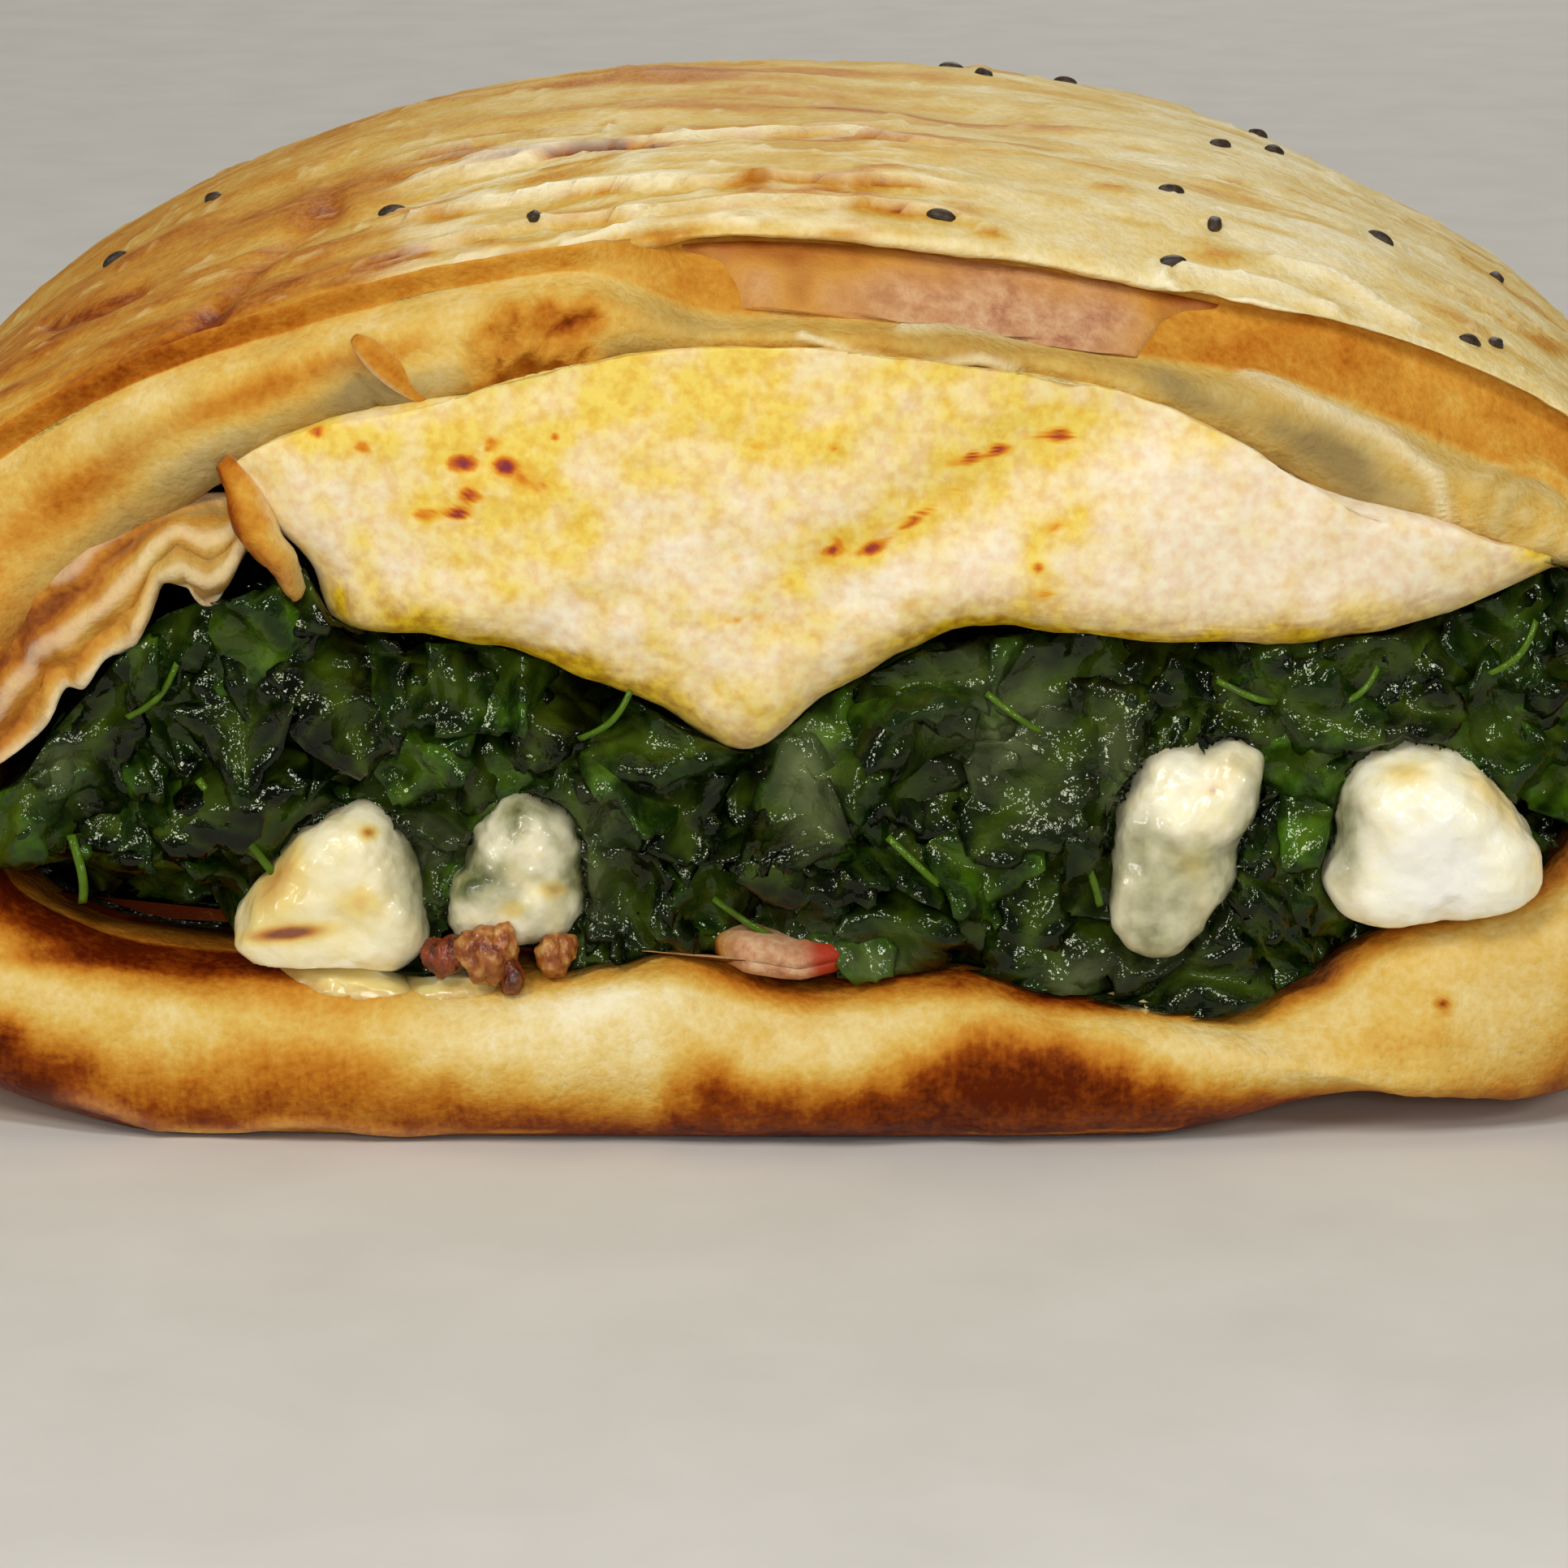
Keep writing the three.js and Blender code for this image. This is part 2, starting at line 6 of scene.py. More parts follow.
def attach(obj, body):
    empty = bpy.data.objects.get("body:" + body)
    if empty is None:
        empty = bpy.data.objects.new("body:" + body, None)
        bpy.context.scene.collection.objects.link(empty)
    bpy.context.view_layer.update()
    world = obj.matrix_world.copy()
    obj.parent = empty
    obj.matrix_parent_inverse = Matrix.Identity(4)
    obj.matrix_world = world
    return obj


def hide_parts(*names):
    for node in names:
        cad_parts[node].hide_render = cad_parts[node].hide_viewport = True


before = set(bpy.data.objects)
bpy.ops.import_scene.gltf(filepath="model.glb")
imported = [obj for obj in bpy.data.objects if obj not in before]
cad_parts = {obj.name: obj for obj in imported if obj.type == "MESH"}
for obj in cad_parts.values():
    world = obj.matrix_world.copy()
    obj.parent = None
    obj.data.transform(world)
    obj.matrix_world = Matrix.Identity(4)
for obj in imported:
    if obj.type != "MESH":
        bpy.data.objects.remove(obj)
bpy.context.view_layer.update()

# ---------------------------------------------------------------------------------------------------
# Camera. A long lens in front of the cut end and 15 degrees above it, so close that the crest and both
# sides run out of the picture. The picture's own places are in mm right of and above its middle.
MM = 0.001
TAU = 2 * np.pi
AIM = np.array([0, -66, 22.9])
ELEVATION = np.radians(15)
STAND_OFF = 350
VIEW_WIDTH = 96.6
SENSOR = 36

forward = np.array([0, np.cos(ELEVATION), -np.sin(ELEVATION)])
upward = np.array([0, np.sin(ELEVATION), np.cos(ELEVATION)])
eye = AIM - STAND_OFF * forward
scene = bpy.context.scene
camera = bpy.data.objects.new("camera", bpy.data.cameras.new("camera"))
camera.location = eye * MM
camera.rotation_euler = (np.pi / 2 - ELEVATION, 0, 0)
camera.data.sensor_width = SENSOR
camera.data.lens = SENSOR * STAND_OFF / VIEW_WIDTH
scene.collection.objects.link(camera)
scene.camera = camera


def seen(points):
    """Where points show in the picture."""
    away = points - eye
    scale = STAND_OFF / (away @ forward)
    return away[..., 0] * scale, (away @ upward) * scale


# ---------------------------------------------------------------------------------------------------
# Dough wrap. One sheet of pizza dough folded round the filling and baked: a soft lip all round the
# mouth, a roof of two layers with a slope between them, and a flaky, blistered crust outside.
# A place is given as its turn round the loaf, its depth in the dough (0 filling, 1 crust) and its
# distance behind the lip. On the cut, layer 0 to 1 is the rolled lip, 1 to 2 the slope, 2 to 3 the edge.
WIDTH, HEIGHT, LENGTH = 127, 60, 140
AXIS_HEIGHT = 23
TAIL_DROP = 8
WALL_BASE, WALL_SIDE, WALL_ROOF = 10, 12.5, 10.5
CAVITY_LENGTH = 122
MOUTH_FADE = 34
CUT_BOW = 5
ROOF_SETBACK = 3.4
SLOPE_START = 2.6
MOUTH_OUTLINE = [
    (53, 26), (50, 35), (42, 38), (33, 41), (22, 46.5), (8, 49.3), (-8, 49.6), (-22, 47.3), (-32, 43.5),
    (-38, 38), (-46, 31), (-49.8, 21), (-48.4, 15), (-43, 12.2), (-26, 11.2), (-8, 11.9), (1, 9.8),
    (11, 10.6), (21, 8.8), (27, 8), (31.5, 9.8), (36, 13), (47, 15.8),
]


def clamp(x, low=0.0, high=1.0):
    return np.minimum(high, np.maximum(low, x))


def mix(a, b, share):
    return a + (b - a) * share


def ease(start, end, x):
    """0 at the start, 1 at the end, smooth between them."""
    share = clamp((np.asarray(x, float) - start) / (end - start))
    return share * share * (3 - 2 * share)


def bell(x, middle, half):
    """1 at the middle, fading to 0 on both sides of it."""
    return np.exp(-(((x - middle) / half) ** 2))


def rounded(share, power):
    """1 at share 0, falling to 0 at share 1 along a rounded corner."""
    return (1 - clamp(share) ** power) ** (1 / power)


def half_round(x, middle, half):
    """How far a half-round edge stands back at x."""
    return 1 - np.sqrt(np.maximum(0, 1 - ((x - middle) / half) ** 2))


def reach_of(outline, centre):
    """The distance from a centre to a closed outline, as a smooth function of the angle."""
    knots = sorted((np.arctan2(z - centre[1], x - centre[0]), np.hypot(x - centre[0], z - centre[1]))
                   for x, z in outline)
    angles, reaches = np.array(knots).T
    angles = np.concatenate([angles[-2:] - TAU, angles, angles[:2] + TAU])
    reaches = np.concatenate([reaches[-2:], reaches, reaches[:2]])
    slopes = (reaches[2:] - reaches[:-2]) / (angles[2:] - angles[:-2])
    angles, reaches = angles[1:-1], reaches[1:-1]

    def reach(angle):
        i = np.clip(np.searchsorted(angles, angle, side="right") - 1, 0, len(angles) - 2)
        span = angles[i + 1] - angles[i]
        t = (angle - angles[i]) / span
        return (
            (2 * t**3 - 3 * t**2 + 1) * reaches[i]
            + (t**3 - 2 * t**2 + t) * span * slopes[i]
            + (3 * t**2 - 2 * t**3) * reaches[i + 1]
            + (t**3 - t**2) * span * slopes[i + 1]
        )

    return reach


mouth_reach = reach_of(MOUTH_OUTLINE, (0, AXIS_HEIGHT))


def axis_at(back):
    return AXIS_HEIGHT - TAIL_DROP * ease(80, LENGTH, back)


def crust(turn, back):
    """The crust from the long axis: an arch above, a flat base with round corners below."""
    across, up, middle = np.cos(turn), np.sin(turn), axis_at(back)
    x = WIDTH / 2 * rounded((back - 75) / 65, 2.4) * np.sign(across)
    tail = rounded((back - 40) / 100, 2.2)
    folds = 0.9 * np.sin(back / 9 + 4 * turn) + 0.7 * np.sin(back / 23 - 7 * turn) - 1.6
    rise = (HEIGHT - middle) * tail - 3.6 * bell(back, 0, 15)
    sink = middle * rounded((back - 108) / 32, 2.2)
    height = np.abs(up)
    arch = rise * height + 0.5 * folds * tail * height**2
    base = -sink * np.minimum(1, 1.12 * height**0.6)
    return x * np.abs(across) ** np.where(up >= 0, 1, 0.75), np.where(up >= 0, arch, base)


def loaf_terms(turn, back):
    """The way out from the long axis, and how far the filling and the crust lie along it."""
    x, z = crust(turn, back)
    outside = np.maximum(np.hypot(x, z), 1e-9)
    flat = np.abs(z / outside)
    wall = mix(WALL_SIDE, np.where(z > 0, WALL_ROOF, WALL_BASE), flat**2) / mix(1, 0.9, flat)
    inside = mix(mouth_reach(np.arctan2(z, x)), np.maximum(1, outside - wall), ease(0, MOUTH_FADE, back))
    return x / outside, z / outside, inside * rounded((back - CAVITY_LENGTH + 30) / 30, 2.4), outside


def loaf_point(turn, depth, back):
    dx, dz, hollow, outside = loaf_terms(turn, back)
    reach = mix(hollow, outside, depth)
    arched = ease(22, 37, dx * outside) * ease(50, 38, dx * outside) * ease(46, 10, back)
    lift = np.where(dz < 0, 2.8 * arched * clamp(depth), 0)
    return np.stack([reach * dx, back - LENGTH / 2, axis_at(back) + reach * dz + lift], -1)


def left_share(turn):
    return np.where(turn > 0, ease(1.65, 1.79, turn), ease(-1, -2.1, turn))


def right_share(turn):
    return np.where(turn > 0, ease(1.22, 0.98, turn), ease(-2.1, -1, turn))


def lip_share(turn):
    return 0.3 + 0.48 * left_share(turn) + 0.18 * right_share(turn)


def edge_share(turn):
    return 0.8 + 0.08 * left_share(turn) + 0.12 * right_share(turn)


def slope_run(turn):
    return 7.2 * (edge_share(turn) - lip_share(turn))


def layer_depth(turn, layer):
    lip, edge = lip_share(turn), edge_share(turn)
    return np.where(layer < 1, lip * layer,
                    np.where(layer < 2, mix(lip, edge, layer - 1), mix(edge, 1, layer - 2)))


def cut_face(turn, layer):
    """How far back the cut lies: one round lip below and at the sides, the roof's layers above."""
    roof, run = ease(0.1, 0.62, np.sin(turn)), slope_run(turn)
    plain = 5 * half_round(layer_depth(turn, layer), 0.5, 0.5)
    rolled = np.where(layer < 1, 3 * half_round(layer, 0.5, 0.5) * np.where(layer < 0.5, 0.5, 1), np.inf)
    slope = np.where(layer > 0.9, SLOPE_START + run * (layer - 1), np.inf)
    edge = np.where(layer > 2, SLOPE_START + 0.56 * run + 2.2 * half_round(layer, 2.5, 0.5), np.inf)
    stands = ROOF_SETBACK + np.minimum(rolled, np.minimum(slope, edge))
    return mix(plain, stands, roof) + CUT_BOW * np.cos(turn) ** 2


def cloud(points, size, seed, octaves=3):
    """Soft repeatable lumps, about -1 to 1, of the given size in mm."""
    lattice = np.random.default_rng(seed).uniform(-1, 1, (32, 32, 32))
    total = 0
    for octave in range(octaves):
        place = np.asarray(points) / size * 2**octave + 5.3 * seed
        cell = np.floor(place).astype(int)
        near = place - cell
        near = near * near * (3 - 2 * near)
        for corner in np.ndindex(2, 2, 2):
            weight = np.where(corner, near, 1 - near).prod(-1)
            i, j, k = np.moveaxis((cell + corner) % 32, -1, 0)
            total = total + 0.5**octave * weight * lattice[i, j, k]
    return total


def ridged(points, size, seed, octaves=2):
    """Sharp crests with round hollows between them, about -1 to 1, of the given size in mm."""
    return 1 - 2 * np.abs(cloud(points, size, seed, octaves))


def spot(place, centre, half, tilt=0):
    """1 in the middle of a soft oval mark in the picture, fading to 0 round it."""
    c, s = np.cos(np.radians(tilt)), np.sin(np.radians(tilt))
    right, up = place[0] - centre[0], place[1] - centre[1]
    return np.exp(-(((right * c + up * s) / half[0]) ** 2) - ((up * c - right * s) / half[1]) ** 2)


def streak(place, path, width):
    """1 along a line through the path's points in the picture, fading to 0 over the width."""
    nearest = np.inf
    for (x0, y0), (x1, y1) in zip(path, path[1:]):
        run, rise = x1 - x0, y1 - y0
        along = clamp(((place[0] - x0) * run + (place[1] - y0) * rise) / (run**2 + rise**2))
        gap = np.hypot(place[0] - x0 - along * run, place[1] - y0 - along * rise)
        nearest = np.minimum(nearest, gap)
    return bell(nearest, 0, width)


def spots(place, marks):
    """The sum of soft oval marks: a middle, a half size, maybe a tilt, and a strength for each."""
    return sum(amount * spot(place, *mark) for *mark, amount in marks)


def streaks_along(place, paths):
    """The sum of soft lines: a path through the picture and a width for each."""
    return sum(streak(place, path, width) for path, width in paths)


def outward(rings):
    """The way out of a skin at each point of its rings."""
    around = np.roll(rings, -1, 1) - np.roll(rings, 1, 1)
    way = np.cross(around, np.gradient(rings, axis=0))
    return way / np.maximum(np.linalg.norm(way, axis=-1, keepdims=True), 1e-9)


def skin(rings, **marks):
    """A closed skin over rings of points, drawn in to a point at both ends: points, faces and marks."""
    count, around, _ = rings.shape
    ring = 1 + np.arange(count * around).reshape(count, around)
    after = np.roll(ring, -1, 1)
    sides = np.stack([ring[:-1], after[:-1], after[1:], ring[1:]], -1).reshape(-1, 4)
    last = np.full(around, count * around + 1)
    fans = np.concatenate([
        np.stack([after[0], ring[0], 0 * last], -1),
        np.stack([ring[-1], after[-1], last], -1),
    ])

    def with_ends(values):
        tail = (1,) if values.ndim == 2 else (1, values.shape[-1])
        flat = values.reshape(-1, *tail[1:])
        ends = [values[i].mean(0).reshape(tail) for i in (0, -1)]
        return np.concatenate([ends[0], flat, ends[1]])

    points = with_ends(rings)
    a, b, c = (points[sides[:, i]] for i in (0, 1, 2))
    if np.einsum("ij,ij->", a, np.cross(b, c)) < 0:
        sides, fans = sides[:, ::-1], fans[:, ::-1]
    shaped = {name: with_ends(np.broadcast_to(value, rings.shape[:2])) for name, value in marks.items()}
    return points, sides, fans, shaped


def make_piece(name, skins, material, slot, *nodes):
    """Joins skins into one smooth mesh that stands for the CAD nodes."""
    points, faces, start = [], [], 0
    for part, sides, fans, _ in skins:
        points.append(part)
        faces += (sides + start).tolist() + (fans + start).tolist()
        start += len(part)
    mesh = bpy.data.meshes.new(name)
    mesh.from_pydata((np.concatenate(points) * MM).tolist(), [], faces)
    mesh.polygons.foreach_set("use_smooth", np.ones(len(mesh.polygons), bool))
    for mark in skins[0][3]:
        values = np.concatenate([marks[mark] for _, _, _, marks in skins])
        mesh.attributes.new(mark, "FLOAT", "POINT").data.foreach_set("value", values.astype(np.float32))
    mesh.materials.append(material)
    made = bpy.data.objects.new(name, mesh)
    scene.collection.objects.link(made)
    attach(made, "root")
    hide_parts(*nodes)


def colour(code):
    """An sRGB hex colour as linear red, green, blue and alpha."""
    parts = np.array([int(code[i : i + 2], 16) for i in (1, 3, 5)]) / 255
    linear = np.where(parts <= 0.04045, parts / 12.92, ((parts + 0.055) / 1.055) ** 2.4)
    return (*linear.tolist(), 1.0)


def add_node(tree, kind, inputs, stops=(), out=0, **settings):
    """A shader node: its settings, a value or another node's output for each input, and which output
    of its own is wanted."""
    made = tree.nodes.new("ShaderNode" + kind)
    for name, value in settings.items():
        setattr(made, name, value)
    for socket, value in inputs.items():
        if isinstance(value, bpy.types.NodeSocket):
            tree.links.new(value, made.inputs[socket])
        else:
            made.inputs[socket].default_value = value
    for i, (place, code) in enumerate(stops):
        ramp = made.color_ramp.elements
        stop = ramp[i] if i < 2 else ramp.new(place)
        stop.position, stop.color = place, colour(code)
    return made.outputs[out]


def new_finish(name, *marks, **constants):
    """A material, its main shader with the numbers that are the same all over, the place on the piece
    and the piece's own marks."""
    material = bpy.data.materials.new(name)
    material.use_nodes = True
    tree = material.node_tree
    shader = tree.nodes["Principled BSDF"]
    for socket, value in constants.items():
        shader.inputs[socket.replace("_", " ")].default_value = value
    place = add_node(tree, "TexCoord", {}, out="Object")
    read = [add_node(tree, "Attribute", {}, out="Fac", attribute_name=mark) for mark in marks]
    return material, tree, shader, place, *read


def drive(tree, shader, **sources):
    """Joins what varies over the piece to its main shader."""
    for socket, source in sources.items():
        tree.links.new(source, shader.inputs[socket.replace("_", " ")])


# Colours from raw cream at 0 through gold to scorched brown at 1, for the browning and for the painted shade
# and painted highlight added to it
BAKE_STOPS = [
    (0.0, "#f3e8c4"), (0.18, "#e6cf8e"), (0.36, "#dab45a"), (0.54, "#cd9234"),
    (0.7, "#b8701c"), (0.85, "#8c3e08"), (1.0, "#571902"),
]
GRAIN_MM = 0.5  # the crumb's fine grain
PATCH_MM = 2.5  # soft patches in the browning
STRAND_MM = (0.35, 1, 2.2)  # fine upright strands in the browning of the cut


def baked_dough():
    """Dough baked in a hot oven: matt, floured where pale, a little oily where brown; its marks hold painted
    shade and highlight.
    """
    material, tree, shader, place, bake, damp, dry, hair = new_finish(
        "baked dough", "bake", "damp", "dry", "hair", IOR=1.45, Specular_IOR_Level=0.2,
        Specular_Tint=colour("#f0c888"), Subsurface_Weight=0.06, Subsurface_Radius=(1.0, 0.6, 0.3),
        Subsurface_Scale=1.2 * MM)
    grain = add_node(tree, "TexNoise", {"Vector": place, "Scale": 1 / (GRAIN_MM * MM), "Detail": 3.0})
    patch = add_node(tree, "TexNoise", {"Vector": place, "Scale": 1 / (PATCH_MM * MM), "Detail": 5.0})
    per_strand = [1 / (size * MM) for size in STRAND_MM]
    upright = add_node(tree, "VectorMath", {0: place, 1: per_strand}, operation="MULTIPLY")
    strand = add_node(tree, "TexNoise", {"Vector": upright, "Scale": 1.0, "Detail": 2.0})
    fringe = add_node(tree, "Math", {0: strand, 1: -0.5}, operation="ADD")
    hairs = add_node(tree, "Math", {0: fringe, 1: hair}, operation="MULTIPLY")
    speckle = add_node(tree, "Math", {0: grain, 1: 0.26, 2: -0.13}, operation="MULTIPLY_ADD")
    uneven = add_node(tree, "Math", {0: patch, 1: 0.36, 2: -0.18}, operation="MULTIPLY_ADD")
    both = add_node(tree, "Math", {0: speckle, 1: uneven}, operation="ADD")
    combed = add_node(tree, "Math", {0: both, 1: hairs}, operation="ADD")
    level = add_node(tree, "Math", {0: bake, 1: combed}, operation="ADD", use_clamp=True)
    base = add_node(tree, "ValToRGB", {"Fac": level}, stops=BAKE_STOPS)
    steamed_and_shaded = add_node(tree, "MixRGB", {"Fac": damp, "Color1": base, "Color2": colour("#968050")})
    floured_and_highlit = add_node(tree, "MixRGB", {"Fac": dry, "Color1": steamed_and_shaded, "Color2": colour("#fff6d6")})
    rough = add_node(tree, "MapRange", {"Value": level, "To Min": 0.75, "To Max": 0.42})
    fine = add_node(tree, "Bump", {"Height": grain, "Strength": 0.55, "Distance": 0.3 * MM})
    broad = add_node(tree, "Bump", {"Height": patch, "Strength": 0.5, "Distance": 0.5 * MM, "Normal": fine})
    drive(tree, shader, Base_Color=floured_and_highlit, Roughness=rough, Normal=broad)
    return material


dough_finish = baked_dough()

# The skin's rings run from the tail over the crust, down the cut from edge to lip, and into the hollow.
# They lie closest at the front, where the picture shows the crust
TURNS = 620
FINE_FROM, FINEST_FROM = 62, 26
turns = (np.arange(TURNS) / TURNS - 0.5) * TAU
crust_stops = np.concatenate([
    np.linspace(LENGTH - 0.3, FINE_FROM, 22, endpoint=False),
    np.linspace(FINE_FROM, FINEST_FROM, 26, endpoint=False),
    np.linspace(FINEST_FROM, 0.4, 54),
])
face_layers = np.linspace(3, 0, 46)
cavity_stops = np.array([0.8, 1.8, 3, 4.6, 6.5, 9, 13, 20, 34, 60, 100, 121.5])
layer = np.concatenate([np.full(len(crust_stops), 3.0), face_layers, np.zeros(len(cavity_stops))])[:, None]
stop = np.concatenate([crust_stops, np.zeros(len(face_layers)), cavity_stops])[:, None]
in_cavity = (np.arange(len(stop)) >= len(stop) - len(cavity_stops))[:, None]
end = np.where(in_cavity, CAVITY_LENGTH, LENGTH)
turn = turns[None, :]
back = mix(cut_face(turn, layer), end, stop / end)
plain_dough = loaf_point(turn, layer_depth(turn, layer), back)
x = plain_dough[..., 0]
picture = seen(plain_dough)

# Where on the dough a place lies, each from 0 to 1
outside = ease(2.05, 2.7, layer) * np.ones_like(turn)
roof = ease(0.1, 0.62, np.sin(turn)) * np.ones_like(layer)
front = ease(44, 34, back)
upper = ease(0.02, 0.3, np.sin(turn))
in_lip = ease(1.15, 0.95, layer) * roof * ~in_cavity
on_slope = ease(0.95, 1.1, layer) * ease(2.2, 1.95, layer) * roof
base_lip = (1 - roof) * ~in_cavity * ease(3.0, 2.9, layer + stop)
left_behind = ease(-6, -44, x + 5 * cloud(plain_dough, 12, 26))
left = mix(left_behind, ease(-17, -31, x), front)

# The dough was stretched round the loaf, so what marks the crust is drawn out that way: long streaks,
# and flaky terraces whose thin edges stand up a little towards the cut
ROUND = 16  # the loaf's circle in this space, far smaller than the real one, so that marks run round it
TERRACE = 8.5  # from one edge to the next
drawn_out = np.stack(np.broadcast_arrays(ROUND * np.cos(turn), ROUND * np.sin(turn), back), -1)
streaks = cloud(drawn_out, 3.4, 13, 4)
terrace = (back + 5 * cloud(drawn_out, 9, 3, 4)) / TERRACE
rise = 1 - (terrace - np.floor(terrace))
flaked = 0.12 + 0.88 * ease(-29, -20, x) * ease(17, 4, x) * front
flaky = outside * upper * clamp(flaked + 0.3 * cloud(plain_dough, 14, 4))
curl = ease(0.82, 0.97, rise) * flaky
crinkle = ridged(drawn_out * [1, 1, 0.8], 2.2, 19, 3)
blister = ease(0.34, 0.6, cloud(drawn_out * [1, 1, 0.7], 1.6, 18, 3)) * outside * upper * (0.3 + 0.7 * flaky)
# The crease that runs down the crust at the left, and a few wrinkles beside it: a path and its width
creases = [
    ([(-27.5, 35.6), (-30.4, 33.8), (-33.4, 31), (-36.6, 26.8)], 0.55),
    ([(-45.4, 28.3), (-42.3, 29.3), (-39.5, 30.8)], 0.35),
    ([(-41, 24.6), (-37, 27.8), (-34.8, 29.8)], 0.3),
]
crease = streaks_along(picture, creases) * front * outside
# A toasted blister on the lip, split by two crevices
TOAST, TOAST_HALF, TOAST_TILT = (-15.4, 27.2), (5.4, 3.2), 14
toasted = spot(picture, TOAST, TOAST_HALF, TOAST_TILT) + 0.16 * cloud(plain_dough, 1.6, 14)
toast = ease(0.25, 0.75, toasted) * in_lip
crevices = [
    ([(-26.3, 25), (-25, 23.6), (-23.4, 22.4)], 0.28),
    ([(-15.6, 25.4), (-15.2, 26.6), (-14.8, 27.6), (-12.9, 28.7), (-11.6, 28.9)], 0.3),
    ([(-17.6, 26.4), (-16.9, 27.6), (-16.2, 28.6)], 0.22), ([(-12.6, 26.8), (-11.8, 27.8)], 0.2),
]
crevice = streaks_along(picture, crevices) * in_lip
# Thin edges of the layers in the lip: pale wavy ridges above the chicken, with a painted highlight along them
ridges = [
    ([(1, 27.6), (4.5, 26.6), (7.4, 25.9), (9.3, 26), (12.1, 26.2), (14, 25.7), (15, 24.8)], 0.26),
    ([(7, 27.9), (10.2, 27.8), (13.2, 27.5), (16, 27.4)], 0.22),
    ([(-47, 23.5), (-42, 26.3), (-36, 28), (-31, 30)], 0.3),
    ([(28.4, 25.4), (31, 24.2), (36.7, 21.6), (40.1, 19), (40.9, 15.8)], 0.45),
]
ridge_line = streaks_along(picture, ridges) * in_lip
# The outer layer's edge, doubled and curled at the right, pale and with a painted highlight along it
brims = [
    ([(22.9, 32.2), (24, 30.4), (25.6, 29.4), (28.7, 29.8), (31.7, 28.8), (35.4, 26.6), (38.4, 24)], 0.3),
    ([(24.4, 32), (27, 31.4), (30.4, 30.7), (34, 29.2)], 0.26), ([(30, 32), (34, 31), (39, 28)], 0.22),
    ([(-13.6, 33.2), (-10.9, 34), (-8.4, 34.8), (-5.4, 35.2), (-2, 34.6)], 0.26),
]
brim = streaks_along(picture, brims) * outside * front
# At the far right the dough ends in a roll, seen end on
ROLL = (45.6, 16.4)
ROLL_LAYER = 1.7  # from one turn of the roll to the next
roll_ring = np.hypot(picture[0] - ROLL[0], picture[1] - ROLL[1])
roll = ease(4.6, 2.6, roll_ring) * front * ease(0.0, 0.2, np.sin(turn)) * ~in_cavity * ease(2.2, 1.6, layer)
roll_turns = np.cos(roll_ring * TAU / ROLL_LAYER)

# Flat blisters that the oven caught: small orange-brown lenses, as the picture places them
LENSES = [  # middle, half size, tilt
    ((-18, 33.4), (1.9, 0.45), 0), ((-29.3, 36.5), (1.2, 0.6), 30), ((-1.7, 36.8), (1.2, 0.8), 0),
    ((-7.5, 33.6), (2.0, 0.9), 6), ((1.5, 36.4), (1.6, 0.5), 8), ((4.9, 36.1), (0.8, 0.8), 60),
    ((3.4, 33.8), (1.3, 0.3), -4), ((12.8, 33.8), (0.9, 0.3), -6), ((26.6, 32.4), (1.7, 0.4), -8),
    ((41.4, 24.4), (1.0, 0.5), -34), ((44, 22), (1.4, 0.7), -34), ((46.8, 27), (1.6, 0.6), -20),
    ((-33.6, 30.6), (0.9, 1.5), -30), ((-14.4, 37.4), (2.4, 0.3), 10), ((-22.6, 35.4), (1.6, 0.35), 8),
    ((6.4, 37.4), (1.8, 0.3), -2), ((-12.6, 35.6), (2.2, 0.3), 12), ((20.4, 36.2), (1.6, 0.3), -8),
]
lens = sum(spot(picture, *mark) for mark in LENSES) * (1 + 0.6 * cloud(plain_dough, 1.2, 27))
lens = lens * outside * front
scabs = ease(0.62, 0.9, cloud(plain_dough, 1.7, 12, 3)) * outside * upper * mix(1, 0.6, left)
# The roof's lip sags over the chicken at two places, and a thin fluted lip of crust runs along the bottom
SAG_LEFT, SAG_RIGHT = (-22, 6.5), (37, 4)  # middle, half width
droop = in_lip * ease(0.5, 0.05, layer) * (bell(x, *SAG_LEFT) + 0.9 * bell(x, *SAG_RIGHT))
ledge = base_lip * ease(-18, -24, x) * ease(-48, -42, x)
ledge = ledge * bell(layer_depth(turn, layer) - 0.9 - 0.03 * np.sin(x / 2.1), 0, 0.04)
valley = left_share(turn) * roof * bell(layer, 1.9, 0.5) * ~in_cavity
relief = (  # in mm
    outside * upper * (0.5 * cloud(plain_dough, 15, 1, 2) + 0.12 * cloud(plain_dough, 3.4, 2) + 0.2 * streaks)
    + flaky * (0.8 * rise**3 - 0.2 + 0.2 * crinkle) + 0.2 * scabs
    + 1.5 * valley + droop + 0.35 * ledge + 0.2 * clamp(lens) - 0.6 * crease
    + (1 - outside) * ~in_cavity * (0.22 * cloud(plain_dough, 6, 5) + 0.1 * cloud(plain_dough, 1.8, 6))
    + 0.35 * toast * (1 + 1.3 * ridged(plain_dough, 1.3, 7)) - 0.5 * crevice
    + 0.35 * ridge_line + 0.5 * brim
    + roll * (0.6 + 0.16 * roll_turns)
)
dough_rings = plain_dough + relief[..., None] * outward(plain_dough)
dough_rings[..., 2] = np.maximum(dough_rings[..., 2], 0)

